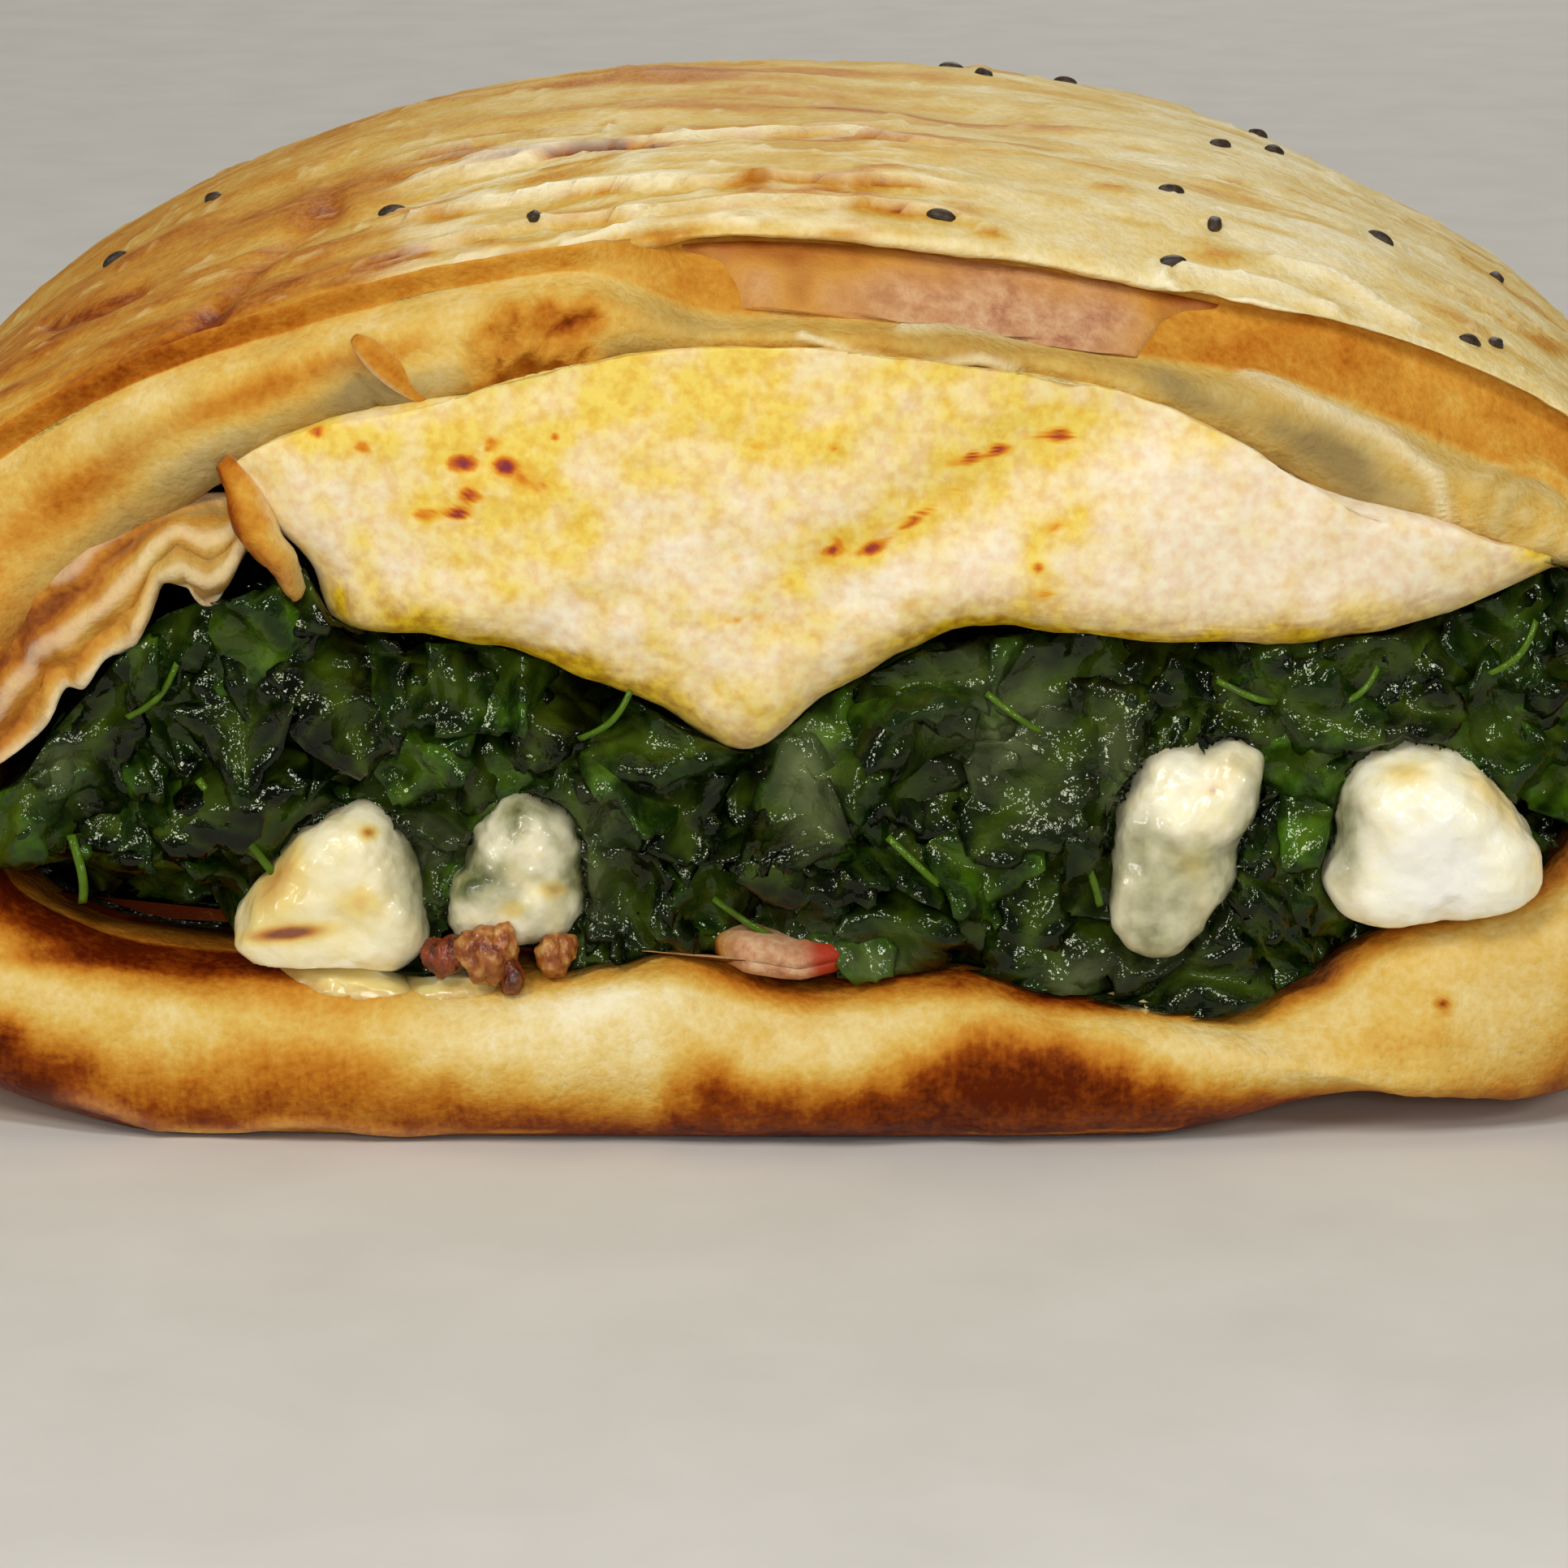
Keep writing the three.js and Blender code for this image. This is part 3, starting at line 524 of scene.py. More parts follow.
# Browning: the crust in patches, terraces and blisters, and browner at the left
RAW_AND_HIGHLIT_EDGE, BASE_BAKE, HOLLOW_BAKE = 0.16, 0.66, 0.7
patches = cloud(drawn_out, 6, 8, 4)
bake = 0.3 - 0.14 * ease(6, 16, x) + 0.1 * cloud(plain_dough, 10, 9) + 0.3 * ease(0.25, 0.7, patches)
bake += 0.4 * flaky * ease(0.16, 0.0, rise) * clamp(0.3 + 1.5 * cloud(plain_dough, 5, 15))
bake -= 0.12 * flaky * crinkle
bake = mix(bake, 0.6 + 0.08 * patches + 0.14 * streaks, left * (0.75 + 0.25 * front))
# The creases are painted browner, as shade in their grooves
bake += 0.34 * blister * (1 - 0.6 * left) + 0.16 * crease
bake += 0.1 * ease(40, 62, x) * outside - 0.2 * scabs * left
bake = mix(bake, 0.68, 0.75 * clamp(lens)) + 0.06 * outside * ease(-18, -6, x) * ease(10, 2, x)
bake += 0.06 * left * ease(2.1, 2.5, layer) * ease(6, 0, stop)
bake = mix(bake, BASE_BAKE, ease(0.0, -0.5, np.sin(turn)) * outside)
# then the slope, the rolled lip, its toasted blister and the roll at the far right
slope_bake = mix(0.62, 0.74, left) + 0.08 * streaks - 0.12 * bell(x, -11, 6)
bake = mix(bake, slope_bake, on_slope)
lip_left = 0.36 + 0.3 * bell(layer, 0.58, 0.16) * ease(-19, -26, x) + 0.12 * cloud(drawn_out, 2.4, 20, 3)
lip_bake = mix(0.36 + 0.08 * patches, lip_left, left_share(turn))
bake = mix(bake, lip_bake, in_lip)
bake = mix(bake, 0.68 - 0.14 * ridged(plain_dough, 1.3, 7), toast)
bake = mix(bake, 0.24 + 0.2 * ease(0.2, -0.8, roll_turns), 0.6 * roll)
# The bottom lip is browned where it lay on the hot stone: how far up, along the picture
BROWN_FROM = [  # place across the picture, share of the lip's thickness
    (-50, 0.6), (-38, 0.6), (-32, 0.44), (-26, 0.4), (-21, 0.5), (-16, 0.6), (-8, 0.68), (-4, 0.5),
    (4, 0.46), (9, 0.3), (14, 0.22), (19, 0.26), (24, 0.5), (31, 0.74), (40, 0.78), (50, 0.66),
]
BROWN_BY = [(-50, 0.5), (-30, 0.5), (-18, 0.64), (0, 0.7), (24, 0.66), (34, 0.46)]  # place, how much
base_share = layer_depth(turn, layer)
hairy = cloud(plain_dough * [1.5, 1, 0.7], 2.6, 10, 3)
brown_from = np.interp(picture[0], *np.array(BROWN_FROM).T) + 0.07 * hairy
browned = ease(brown_from - 0.18, brown_from + 0.3, base_share)
base_bake = 0.2 + 0.06 * patches + 0.12 * ease(26, 40, np.abs(x))
base_bake += (np.interp(picture[0], *np.array(BROWN_BY).T) + 0.1 * ease(0.8, 0.95, base_share)) * browned
# Along its inner edge next to the filling the lip is darker, more so at the left: juice, and painted shade
# under the filling
base_bake += 0.45 * ease(0.14, 0.03, base_share) + 0.4 * ease(0.36, 0.12, base_share) * ease(-19, -31, x)
edge_line = bell(base_share + 0.02 * hairy, 0.93, 0.02) * ease(-0.4, 0.2, cloud(plain_dough, 9, 16))
base_bake -= 0.3 * edge_line * browned + 0.12 * ledge
BASE_MARKS = [  # middle, half size, strength
    ((-47.8, -15.4), (1.2, 1.5), 0.35), ((-28.4, -17), (4.6, 2.0), 0.24), ((-44.6, -17.6), (3, 1.4), 0.2),
    # The long thin mark at the far left, along the lip's inner edge, is juice and painted shade under the
    # filling
    ((-46, -19), (0.6, 0.4), 0.4), ((-41, -10.8), (8, 0.7), 0.3), ((-39.5, -13), (5.5, 1.5), -0.1),
    ((-10, -13.2), (4.6, 2.6), -0.14), ((-5.2, -17.6), (2.4, 1.8), 0.2), ((14.5, -17), (6.2, 3.0), 0.2),
    ((18, -13), (4.6, 1.8), 0.14), ((-3, -13.4), (4, 2.4), 0.14), ((30, -10.6), (3.2, 1.6), 0.5),
    ((6, -11.8), (7, 0.6), 0.3), ((40.6, -13.6), (0.4, 0.5), 0.6), ((38.4, -15.8), (3, 1.4), 0.14),
]
base_bake += spots(picture, BASE_MARKS)
bake = mix(bake, base_bake, base_lip)
# The toasted blister's crevices are painted browner, as shade in them
bake = np.where(in_cavity, HOLLOW_BAKE, bake) + 0.1 * crevice
# The ridges and brims are painted pale: raw dough, with a painted highlight along them
bake = mix(bake, RAW_AND_HIGHLIT_EDGE, 0.55 * clamp(ridge_line + brim))

# Strands in the browning; the greyish dampness that steaming under the filling leaves on dough, with painted
# shade; and dried flakes, with painted highlights
hair = 0.15 * base_lip * (0.3 + 0.7 * browned)
damp = in_lip * (0.25 * (1 - left_share(turn)) + 0.2 * cloud(plain_dough, 5, 11))
# The left lip turns greyer towards its lower edge: painted shade under the roll
damp += in_lip * left_share(turn) * 0.6 * ease(0.42, 0.2, layer)
# Painted shade in greyish olive: on the lip's shaded side and in the hollow over the chicken at the right,
# and under the small flake at the left
PAINTED_SHADE_MARKS = [  # middle, half size, tilt, strength
    ((24.4, 24.2), (4.4, 1.0), -22, 0.7), ((35, 19.2), (4.8, 1.4), -34, 0.7),
    ((33, 20.6), (3, 1.0), -30, 0.7), ((-25.8, 24.2), (2.6, 2.0), 20, 0.7),
]
damp += spots(picture, PAINTED_SHADE_MARKS) * in_lip * (1 + 0.5 * cloud(plain_dough, 3, 17))
SOAKED, SOAKED_HALF = (30.4, -10.4), (3.4, 1.8)  # where juice has run onto the bottom lip
damp += 0.5 * spot(picture, SOAKED, SOAKED_HALF) * base_lip
damp = clamp(damp + 0.12 * base_lip * ease(38, 46, x) - toast) * ~in_cavity
# Dried flour and flakes on crinkle crests, scabs and the ledge, and painted highlights along the terraces'
# curled edges, the ridges and the brims
dry = clamp((0.5 * curl + 0.4 * ease(0.4, 0.95, crinkle) * flaky) * ease(0.9, 0.4, left)
            + 0.45 * ridge_line + 0.7 * brim + 0.2 * scabs + 0.08 * ledge) * clamp(1 - 1.2 * lens)

dough_skin = skin(dough_rings, bake=clamp(bake), damp=damp, dry=dry, hair=hair)
make_piece("dough_wrap", [dough_skin], dough_finish, "baked_dough", "dough")

# ---------------------------------------------------------------------------------------------------
# Torn frill. At the left the inner layer of dough has torn off the lip and dried: a thin sheet with
# folded ridges and a scalloped edge that hangs over dark hollows.
def curve(points, count):
    """A smooth line through points, as many places along it as asked."""
    knots = np.asarray(points, float)
    knots = np.concatenate([2 * knots[:1] - knots[1:2], knots, 2 * knots[-1:] - knots[-2:-1]])
    at = np.linspace(0, len(points) - 1, count)
    i = np.minimum(at.astype(int), len(points) - 2)
    t = (at - i)[:, None]
    a, b, c, d = (knots[i + k] for k in range(4))
    return 0.5 * (2 * b + (c - a) * t + (2 * a - 5 * b + 4 * c - d) * t**2 + (3 * b - a - 3 * c + d) * t**3)


def sheet_rings(middle, thick):
    """Rings round a thin sheet: its grid of middle points (along, across) thickened to both sides."""
    way = np.cross(np.gradient(middle, axis=0), np.gradient(middle, axis=1))
    way /= np.maximum(np.linalg.norm(way, axis=-1, keepdims=True), 1e-9)
    across = np.linspace(-1, 1, middle.shape[1])[:, None]
    half = thick / 2 * np.sqrt(np.maximum(0.04, 1 - across**4))
    return np.concatenate([middle + half * way, (middle - half * way)[:, ::-1]], 1)


def both_sides(values):
    """A sheet's marks for its two faces."""
    return np.concatenate([values, values[:, ::-1]], 1)


def sheet_skin(middle, thick, **marks):
    """The closed skin of a thin sheet."""
    return skin(sheet_rings(middle, thick), **{name: both_sides(values) for name, values in marks.items()})


# Where the frill leaves the lip and where its scalloped edge hangs, across and up
FRILL_ROOT = [
    (-51.6, 28), (-50.2, 32.4), (-48.3, 34.9), (-45.9, 36.3), (-42.3, 38.4), (-39.4, 39), (-37.2, 39.9),
    (-33.6, 40.2), (-31.2, 40.6),
]
FRILL_EDGE = [
    (-51, 22), (-48.6, 23.6), (-46.4, 25.2), (-45.2, 26.6), (-44.4, 28.4), (-43.1, 28.6), (-41.8, 30.4),
    (-40.2, 31), (-39.2, 32.6), (-38.2, 35), (-36.6, 35), (-35.4, 33.8), (-34.4, 34.6), (-33.2, 36.8),
    (-31.6, 37),
]
ALONG, ACROSS = 150, 48
FRILL_THICK, HANGING_THICK, FLAKE_THICK = 0.7, 0.6, 0.35
root = curve(FRILL_ROOT, ALONG)[:, None]
hem = curve(FRILL_EDGE, ALONG)[:, None]
down = np.linspace(0, 1, ACROSS)[None, :, None]
flat = mix(root, hem, down)
along = np.linspace(0, 1, ALONG)[:, None] * np.ones((1, ACROSS))
down = down[..., 0] * np.ones((ALONG, 1))
waver = 0.3 * cloud(np.stack([20 * along, 3 * down, 0 * along], -1), 3, 24)
ridge = np.cos(TAU * (2.6 * down + 1.4 * along + 0.15 * np.sin(9 * along) + waver))
frill_back = 8.4 - 3.3 * np.sin(2.1 * down) - 0.42 * ridge * ease(0, 0.3, down) + 1.8 * (1 - along) ** 2
frill_back += 0.5 * np.cos(along * 40) * ease(0.6, 1, down) + 1.4 * ease(0.84, 1, along)
frill = np.stack([flat[..., 0], frill_back - LENGTH / 2, flat[..., 1]], -1)
frill += 0.15 * cloud(frill, 2.5, 21)[..., None]
# The frill browns towards its lower left; its valleys are painted browner and greyer, and its lower right
# greyer, as shade; its ridge crests and both edges are painted paler, dried dough with a painted highlight
frill_bake = 0.46 + 0.26 * ease(0.72, 0.3, along + 0.9 * (down - 0.4)) + 0.12 * cloud(frill, 3, 22)
frill_bake += 0.14 * ease(0.4, -0.9, ridge) * ease(0.1, 0.3, down)
frill_dry = 0.3 * ease(0.5, 1, ridge) + 0.35 * ease(0.9, 1, down) + 0.5 * ease(0.14, 0, down)
frill_damp = 0.15 + 0.35 * ease(0.5, 0.8, along) * ease(0.2, 0.9, down)
frill_damp += 0.5 * ease(-0.5, -1, ridge) * ease(0.4, 0.8, along)

# The flake that has come off the lip and hangs beside the chicken
HANG = 40
fall = np.linspace(0, 1, HANG)[:, None] * np.ones((1, 16))
wide = np.linspace(-0.5, 0.5, 16)[None, :] * np.ones((HANG, 1))
half_width = 0.25 + 1.0 * np.sin(np.pi * fall**0.8) ** 1.3
hanging = np.stack([
    -34.2 + 4.4 * fall + 2 * wide * half_width + 0.2 * np.sin(9 * fall),
    5.6 - 1.8 * np.sin(2.4 * fall) + 4 * wide**2 * (1 + fall) - LENGTH / 2,
    42.8 - 8.2 * fall + 0.8 * wide,
], -1)
hanging += 0.12 * cloud(hanging, 1.6, 23)[..., None]
hanging_bake = 0.6 + 0.2 * ease(0, -0.45, wide) - 0.3 * ease(-0.1, 0.3, wide) * ease(0.2, 0.7, fall)
hanging_bake += 0.14 * cloud(hanging, 2, 25)

dough_out = outward(dough_rings)
dough_seen = seen(dough_rings)
shows = (dough_out @ forward < 0) & (front > 0) & ~in_cavity


def on_dough(place):
    """The dough's surface and its way out at a place of the picture."""
    off = np.hypot(dough_seen[0] - place[0], dough_seen[1] - place[1]) + np.where(shows, 0, 1e3)
    nearest = np.unravel_index(off.argmin(), off.shape)
    return dough_rings[nearest], dough_out[nearest]


def draped(places):
    """The dough's surface and its way out under places of the picture, smoothed a little."""
    flat_seen = np.stack(dough_seen, -1)
    near = shows & np.all((flat_seen > places.min((0, 1)) - 1) & (flat_seen < places.max((0, 1)) + 1), -1)
    gap = np.linalg.norm(places[..., None, :] - flat_seen[near], axis=-1)
    weight = np.exp(-((gap / 0.4) ** 2)) + 1e-9
    weight /= weight.sum(-1, keepdims=True)
    return weight @ dough_rings[near], weight @ dough_out[near]


# A small dried flake that lies on the lip from one place of the picture to another
FLAKE_FROM, FLAKE_TO = (-26.3, 27.3), (-22.0, 22.6)
FLAKE_HALF, FLAKE_LIFT = 0.95, 0.75
(tip, out), (foot, _) = on_dough(FLAKE_FROM), on_dough(FLAKE_TO)
side = np.cross(foot - tip, out)
side /= np.linalg.norm(side)
flake_down = np.linspace(0, 1, 24)[:, None, None]
flake_across = np.linspace(-1, 1, 12)[None, :, None]
spread = FLAKE_HALF * np.sin(np.pi * clamp(flake_down * 0.9 + 0.08)) ** 0.8
proud = 0.15 + FLAKE_LIFT * np.sin(np.pi * flake_down) ** 0.7 - 0.35 * FLAKE_LIFT * flake_across**2
flake = mix(tip, foot, flake_down) + side * flake_across * spread + out * proud
flake_edge = np.abs(flake_across[..., 0]) * np.ones((24, 1))

frill_skins = [
    sheet_skin(frill, FRILL_THICK, bake=clamp(frill_bake), damp=clamp(frill_damp), dry=clamp(frill_dry)),
    sheet_skin(hanging, HANGING_THICK, bake=clamp(hanging_bake), damp=0.5 * ease(0.5, 1, fall),
               dry=0.25 * ease(0.2, 0.45, wide)),
    sheet_skin(flake, FLAKE_THICK, bake=0.66 - 0.12 * flake_edge, damp=0 * flake_edge,
               dry=0.4 * ease(0.7, 1, flake_edge)),
]
make_piece("torn_frill", frill_skins, dough_finish, "baked_dough", "dough")

# ---------------------------------------------------------------------------------------------------
# Seeds. A few dark seeds pressed into the crust before baking, each lying flat with a faint ridge.
FRONT_SEEDS = [  # turn / pi, back
    (0.747, 41.8), (0.706, 46.8), (0.628, 25.5), (0.578, 14), (0.453, 8.5), (0.379, 10.5), (0.375, 22.5),
    (0.361, 17.2), (0.289, 30.5), (0.269, 10), (0.255, 12.4), (0.222, 46.8),
]
BACK_SEEDS = 10
SEED_HALF = (0.95, 0.5, 0.45)


def drawer(state):
    """The same small repeatable draw that places the seeds in the solid."""
    def draw(low, high):
        nonlocal state
        state = (state * 1664525 + 1013904223) % 4294967296
        return low + (high - low) * state / 4294967296
    return draw


def seed_skin(seed_turn, seed_back, spin):
    rows = np.abs(back[: len(crust_stops), 0] - seed_back).argmin()
    column = np.abs(turns - seed_turn).argmin()
    spot_on = dough_rings[rows, column]
    way = Vector(dough_out[rows, column])
    lie = Vector((0, 0, 1)).rotation_difference(way) @ Quaternion((0, 0, 1), spin)
    polar = np.linspace(0.1, np.pi - 0.1, 14)[:, None]
    round_it = np.linspace(0, TAU, 18, endpoint=False)[None, :]
    ridge = 1 + 0.07 * np.cos(5 * round_it)
    girth = np.sin(polar) ** 1.2
    ball = np.stack([np.cos(polar) * np.ones_like(round_it), girth * np.cos(round_it) * ridge,
                     girth * np.sin(round_it) * ridge], -1) * SEED_HALF
    return skin(ball @ np.array(lie.to_matrix()).T + spot_on)


draw = drawer(21)
seed_places = [(share * np.pi, at) for share, at in FRONT_SEEDS]
for i in range(BACK_SEEDS):
    seed_turn = draw(0.2, 0.8) * np.pi
    seed_places.append((seed_turn, mix(50, 118, (i + draw(0, 1)) / BACK_SEEDS)))

# Toasted seed hull: nearly black and dull, with a brown cast and fine wrinkles
seed_finish, tree, shader, place = new_finish("toasted seed hull", Roughness=0.5, IOR=1.45)
hull = add_node(tree, "TexNoise", {"Vector": place, "Scale": 1 / (0.4 * MM), "Detail": 3.0})
hull_tone = add_node(tree, "ValToRGB", {"Fac": hull}, stops=[(0.35, "#1d130c"), (0.7, "#4d3a25")])
wrinkle = add_node(tree, "Bump", {"Height": hull, "Strength": 0.4, "Distance": 0.1 * MM})
drive(tree, shader, Base_Color=hull_tone, Normal=wrinkle)
seed_skins = [seed_skin(*where, draw(0, TAU)) for where in seed_places]
make_piece("seeds", seed_skins, seed_finish, "baked_dough", "dough")

# ---------------------------------------------------------------------------------------------------
# Ham. Two thin slices of cooked ham: one lies over the roof's lower layer and shows as a pink band on
# the slope, one lies on the bottom dough and shows as a dark, cooked edge under the spinach.
HAM_FROM, HAM_TO = 0.355 * np.pi, 0.55 * np.pi
HAM_THICK = 0.6


def cooked_ham():
    """Cooked ham: pink muscle marbled with paler fat, moist, browned where the oven reached it."""
    material, tree, shader, place, cooked, red = new_finish(
        "cooked ham", "cooked", "red", IOR=1.42, Specular_IOR_Level=0.3, Subsurface_Weight=0.15,
        Subsurface_Radius=(1.0, 0.35, 0.25), Subsurface_Scale=1.0 * MM)
    marble = add_node(tree, "TexNoise", {
        "Vector": place, "Scale": 1 / (1.3 * MM), "Detail": 6.0, "Roughness": 0.65})
    fibre = add_node(tree, "TexNoise", {"Vector": place, "Scale": 1 / (0.35 * MM), "Detail": 2.0})
    pink = add_node(tree, "ValToRGB", {"Fac": marble},
                    stops=[(0.36, "#a5694c"), (0.5, "#c4916a"), (0.66, "#d8b38c")])
    browned = add_node(tree, "ValToRGB", {"Fac": cooked},
                       stops=[(0.0, "#cd9a68"), (0.42, "#cc923c"), (0.62, "#9a4c16"), (1.0, "#571c05")])
    cover = add_node(tree, "MapRange", {"Value": cooked, "To Min": 0.1, "From Max": 0.45})
    meat = add_node(tree, "MixRGB", {"Fac": cover, "Color1": pink, "Color2": browned})
    cured = add_node(tree, "MixRGB", {"Fac": red, "Color1": meat, "Color2": colour("#a83414")})
    rough = add_node(tree, "MapRange", {"Value": fibre, "To Min": 0.3, "To Max": 0.6})
    dent = add_node(tree, "Bump", {"Height": marble, "Strength": 0.6, "Distance": 0.4 * MM})
    drive(tree, shader, Base_Color=cured, Roughness=rough, Normal=dent)
    return material


ham_finish = cooked_ham()
ham_turn = np.linspace(HAM_FROM, HAM_TO, 130)[None, :]
run = slope_run(ham_turn)
slope_start = 0.04 + 0.03 * np.sin(ham_turn * 60)
slope_rows = mix(slope_start, 0.9, np.linspace(0, 1, 34)[:, None])
slope_depth = mix(lip_share(ham_turn), edge_share(ham_turn), slope_rows)
# At both ends the slice runs in under the dough
fades = ease(1.585, 1.665, ham_turn) + ease(1.18, 1.13, ham_turn)
slope_rows = mix(slope_rows, 0.6, 0.85 * fades)
proud = 0.3 - 0.5 * ease(0.6, 0.9, slope_rows) - 1.3 * fades
slope_back = SLOPE_START + slope_rows * run - proud
slot_rows = np.array([3.0, 8, 16, 30, 50, 70, 92])[:, None]
slot_depth = mix(0.7, 0.66, ease(0, 20, slot_rows)) * np.ones_like(ham_turn)
slot_back = SLOPE_START + run + slot_rows
ham_depth = np.concatenate([slope_depth, slot_depth])
ham_back = ROOF_SETBACK + np.concatenate([slope_back, slot_back * np.ones_like(ham_turn)])
ham_middle = loaf_point(ham_turn, ham_depth, ham_back + CUT_BOW * np.cos(ham_turn) ** 2)
ham_middle += (0.16 * cloud(ham_middle * [0.5, 1, 1], 4, 31))[..., None] * [0, 1, 1]
ham_rows = np.concatenate([slope_rows, slot_rows * 0 + 1 + 0 * ham_turn])
ham_cooked = 0.04 + 0.16 * ease(0.45, 0.85, ham_rows) + 0.14 * cloud(ham_middle, 4, 32)
ham_cooked = ham_cooked + 0.42 * ease(1.36, 1.56, ham_turn) + 0.42 * ease(1.26, 1.16, ham_turn)
ham_skin = sheet_skin(ham_middle, HAM_THICK, cooked=clamp(ham_cooked), red=0 * ham_rows)
make_piece("ham_in_roof", [ham_skin], ham_finish, "ham", "ham_roof")


def mouth_floor(x):
    """The height of the mouth's lower edge."""
    lower = sorted([*MOUTH_OUTLINE[12:], MOUTH_OUTLINE[0]])
    return np.interp(x, *np.array(lower).T)


# The slice on the bottom starts behind the lip, but its right end has come forward onto it
FLOOR_LEFT, FLOOR_RIGHT, FLOOR_LENGTH = -47.6, 9, 96
END_MIDDLE, END_HALF = 0.4, 4.6
floor_x = np.linspace(FLOOR_LEFT, FLOOR_RIGHT, 200)[None, :]
floor_share = (np.linspace(0, 1, 30) ** 1.8)[:, None]
slice_end = np.exp(-(((floor_x - END_MIDDLE) / END_HALF) ** 6))
floor_front = 7.0 + CUT_BOW * (floor_x / 60) ** 2 + 0.5 * np.sin(floor_x / 4.3) - 5.2 * slice_end
floor_front = floor_front + 5 * ease(-20, -32, floor_x)
floor_back = mix(floor_front, FLOOR_LENGTH, floor_share)
floor_z = mix(mouth_floor(floor_x), WALL_BASE + 0.4, ease(0, MOUTH_FADE, floor_back))
floor_z = floor_z + 0.2 + 0.7 * slice_end + 0.35 * np.sin(floor_x / 5 + floor_back / 11)
floor_middle = np.stack([floor_x + 0 * floor_z, floor_back - LENGTH / 2, floor_z], -1)
floor_middle[..., 2] += 0.15 * cloud(floor_middle, 4, 33) + 0.9 * slice_end * ease(12, 3, floor_back)
floor_cooked = clamp(1 - 0.9 * slice_end + 0.2 * cloud(floor_middle, 4, 34))
floor_red = ease(0.8, 2.4, floor_x) * ease(5.6, 4.4, floor_x) * np.ones_like(floor_z)
floor_thick = (1.5 + 1.3 * slice_end.T) * np.append([0.02, 0.5, 0.85], np.ones(27))[:, None, None]
floor_skin = sheet_skin(floor_middle, floor_thick, cooked=floor_cooked, red=floor_red)
make_piece("ham_on_floor", [floor_skin], ham_finish, "ham", "ham_floor")

# ---------------------------------------------------------------------------------------------------
# Chicken. A slab of cooked breast, cut across: fine grained and pale, yellow from its spice where it
# met the dough and the pan, with a tongue that hangs over the spinach.
CHICKEN_CENTRE = (0, 40)
CHICKEN_OUTLINE = [
    (52, 39.5), (40, 46), (24, 52), (0, 55), (-22, 52), (-35, 46), (-32, 39.6), (-29, 36), (-27.6, 32.6),
    (-22, 31.9), (-16, 31), (-8, 27.6), (-2, 24.7), (2.4, 28), (8.5, 31.6), (16, 32.3), (38, 32),
    (45, 34.5),
]

# How far the hollow in the dough reaches, every 2 mm of its length and every degree round it
ROOM_BACKS = np.linspace(0, 120, 61)
ROOM_ANGLES = np.linspace(-np.pi, np.pi, 361)


def room_row(station):
    dx, dz, hollow, _ = loaf_terms(np.linspace(-np.pi, np.pi, 1441), station)
    angle = np.arctan2(dz, dx)
    order = np.argsort(angle)
    return np.interp(ROOM_ANGLES, angle[order], hollow[order])


room = np.array([room_row(station) for station in ROOM_BACKS])


def keep_inside(points, gap):
    """Moves what would cut into the dough in towards the long axis."""
    at = clamp(points[..., 1] + LENGTH / 2, 0, 119.9)
    middle = axis_at(at)
    dx, dz = points[..., 0], points[..., 2] - middle
    row, column = at / 2, (np.arctan2(dz, dx) + np.pi) / TAU * 360
    i, j = row.astype(int), np.minimum(column.astype(int), 359)
    s, t = row - i, column - j
    limit = mix(mix(room[i, j], room[i, j + 1], t), mix(room[i + 1, j], room[i + 1, j + 1], t), s) - gap
    share = np.minimum(1, limit / np.maximum(np.hypot(dx, dz), 1e-6))
    return np.stack([dx * share, points[..., 1], middle + dz * share], -1)


chicken_reach = reach_of(CHICKEN_OUTLINE, CHICKEN_CENTRE)
angles = (np.arange(440) / 440 - 0.5) * TAU
side_stops = np.array([115.0, 115, 90, 65, 45, 32, 24, 18, 14, 11, 9])
face_shares = np.sin(np.linspace(np.pi / 2, 0.01, 110))
share = np.concatenate([[0.3], np.ones(len(side_stops) - 1), face_shares])[:, None]
reach = chicken_reach(angles)[None, :] * share
px, pz = CHICKEN_CENTRE[0] + reach * np.cos(angles), CHICKEN_CENTRE[1] + reach * np.sin(angles)
under_roof = ease(0, 0.5, np.sin(angles))[None, :]
EDGE_DROP, FACE_BACK = 4.2, 1.8  # the cut face is this far behind the lip, and its edge is rounded off
dome = EDGE_DROP * (1 - rounded(share, 3)) * mix(1, 0.3, under_roof) + 0.5 * ease(40, 50, pz)
valley = 0.9 * bell(pz - 38 - 0.55 * (px - 6), 0, 4) * ease(-4, 6, px)
chicken_back = FACE_BACK + dome + valley + CUT_BOW * (px / 60) ** 2
chicken_back[: len(side_stops)] = side_stops[:, None]
side_gap = np.where(np.arange(len(share)) < len(side_stops), 0.4, -0.5)[:, None]
# It makes room for the two places where the roof's lip sags
under_droop = 1.2 * bell(px, *SAG_LEFT) * ease(38, 44, pz) + 1.1 * bell(px, *SAG_RIGHT) * ease(35, 39, pz)
chicken = keep_inside(np.stack([px, chicken_back - LENGTH / 2, pz], -1), side_gap + under_droop)
chicken_relief = 0.3 * cloud(chicken, 7, 41) + 0.09 * cloud(chicken * [0.8, 1, 1.1], 1.8, 42)
chicken = chicken + chicken_relief[..., None] * outward(chicken)
chicken = np.where(share[..., None] > 0.9, keep_inside(chicken, under_droop - 0.8), chicken)

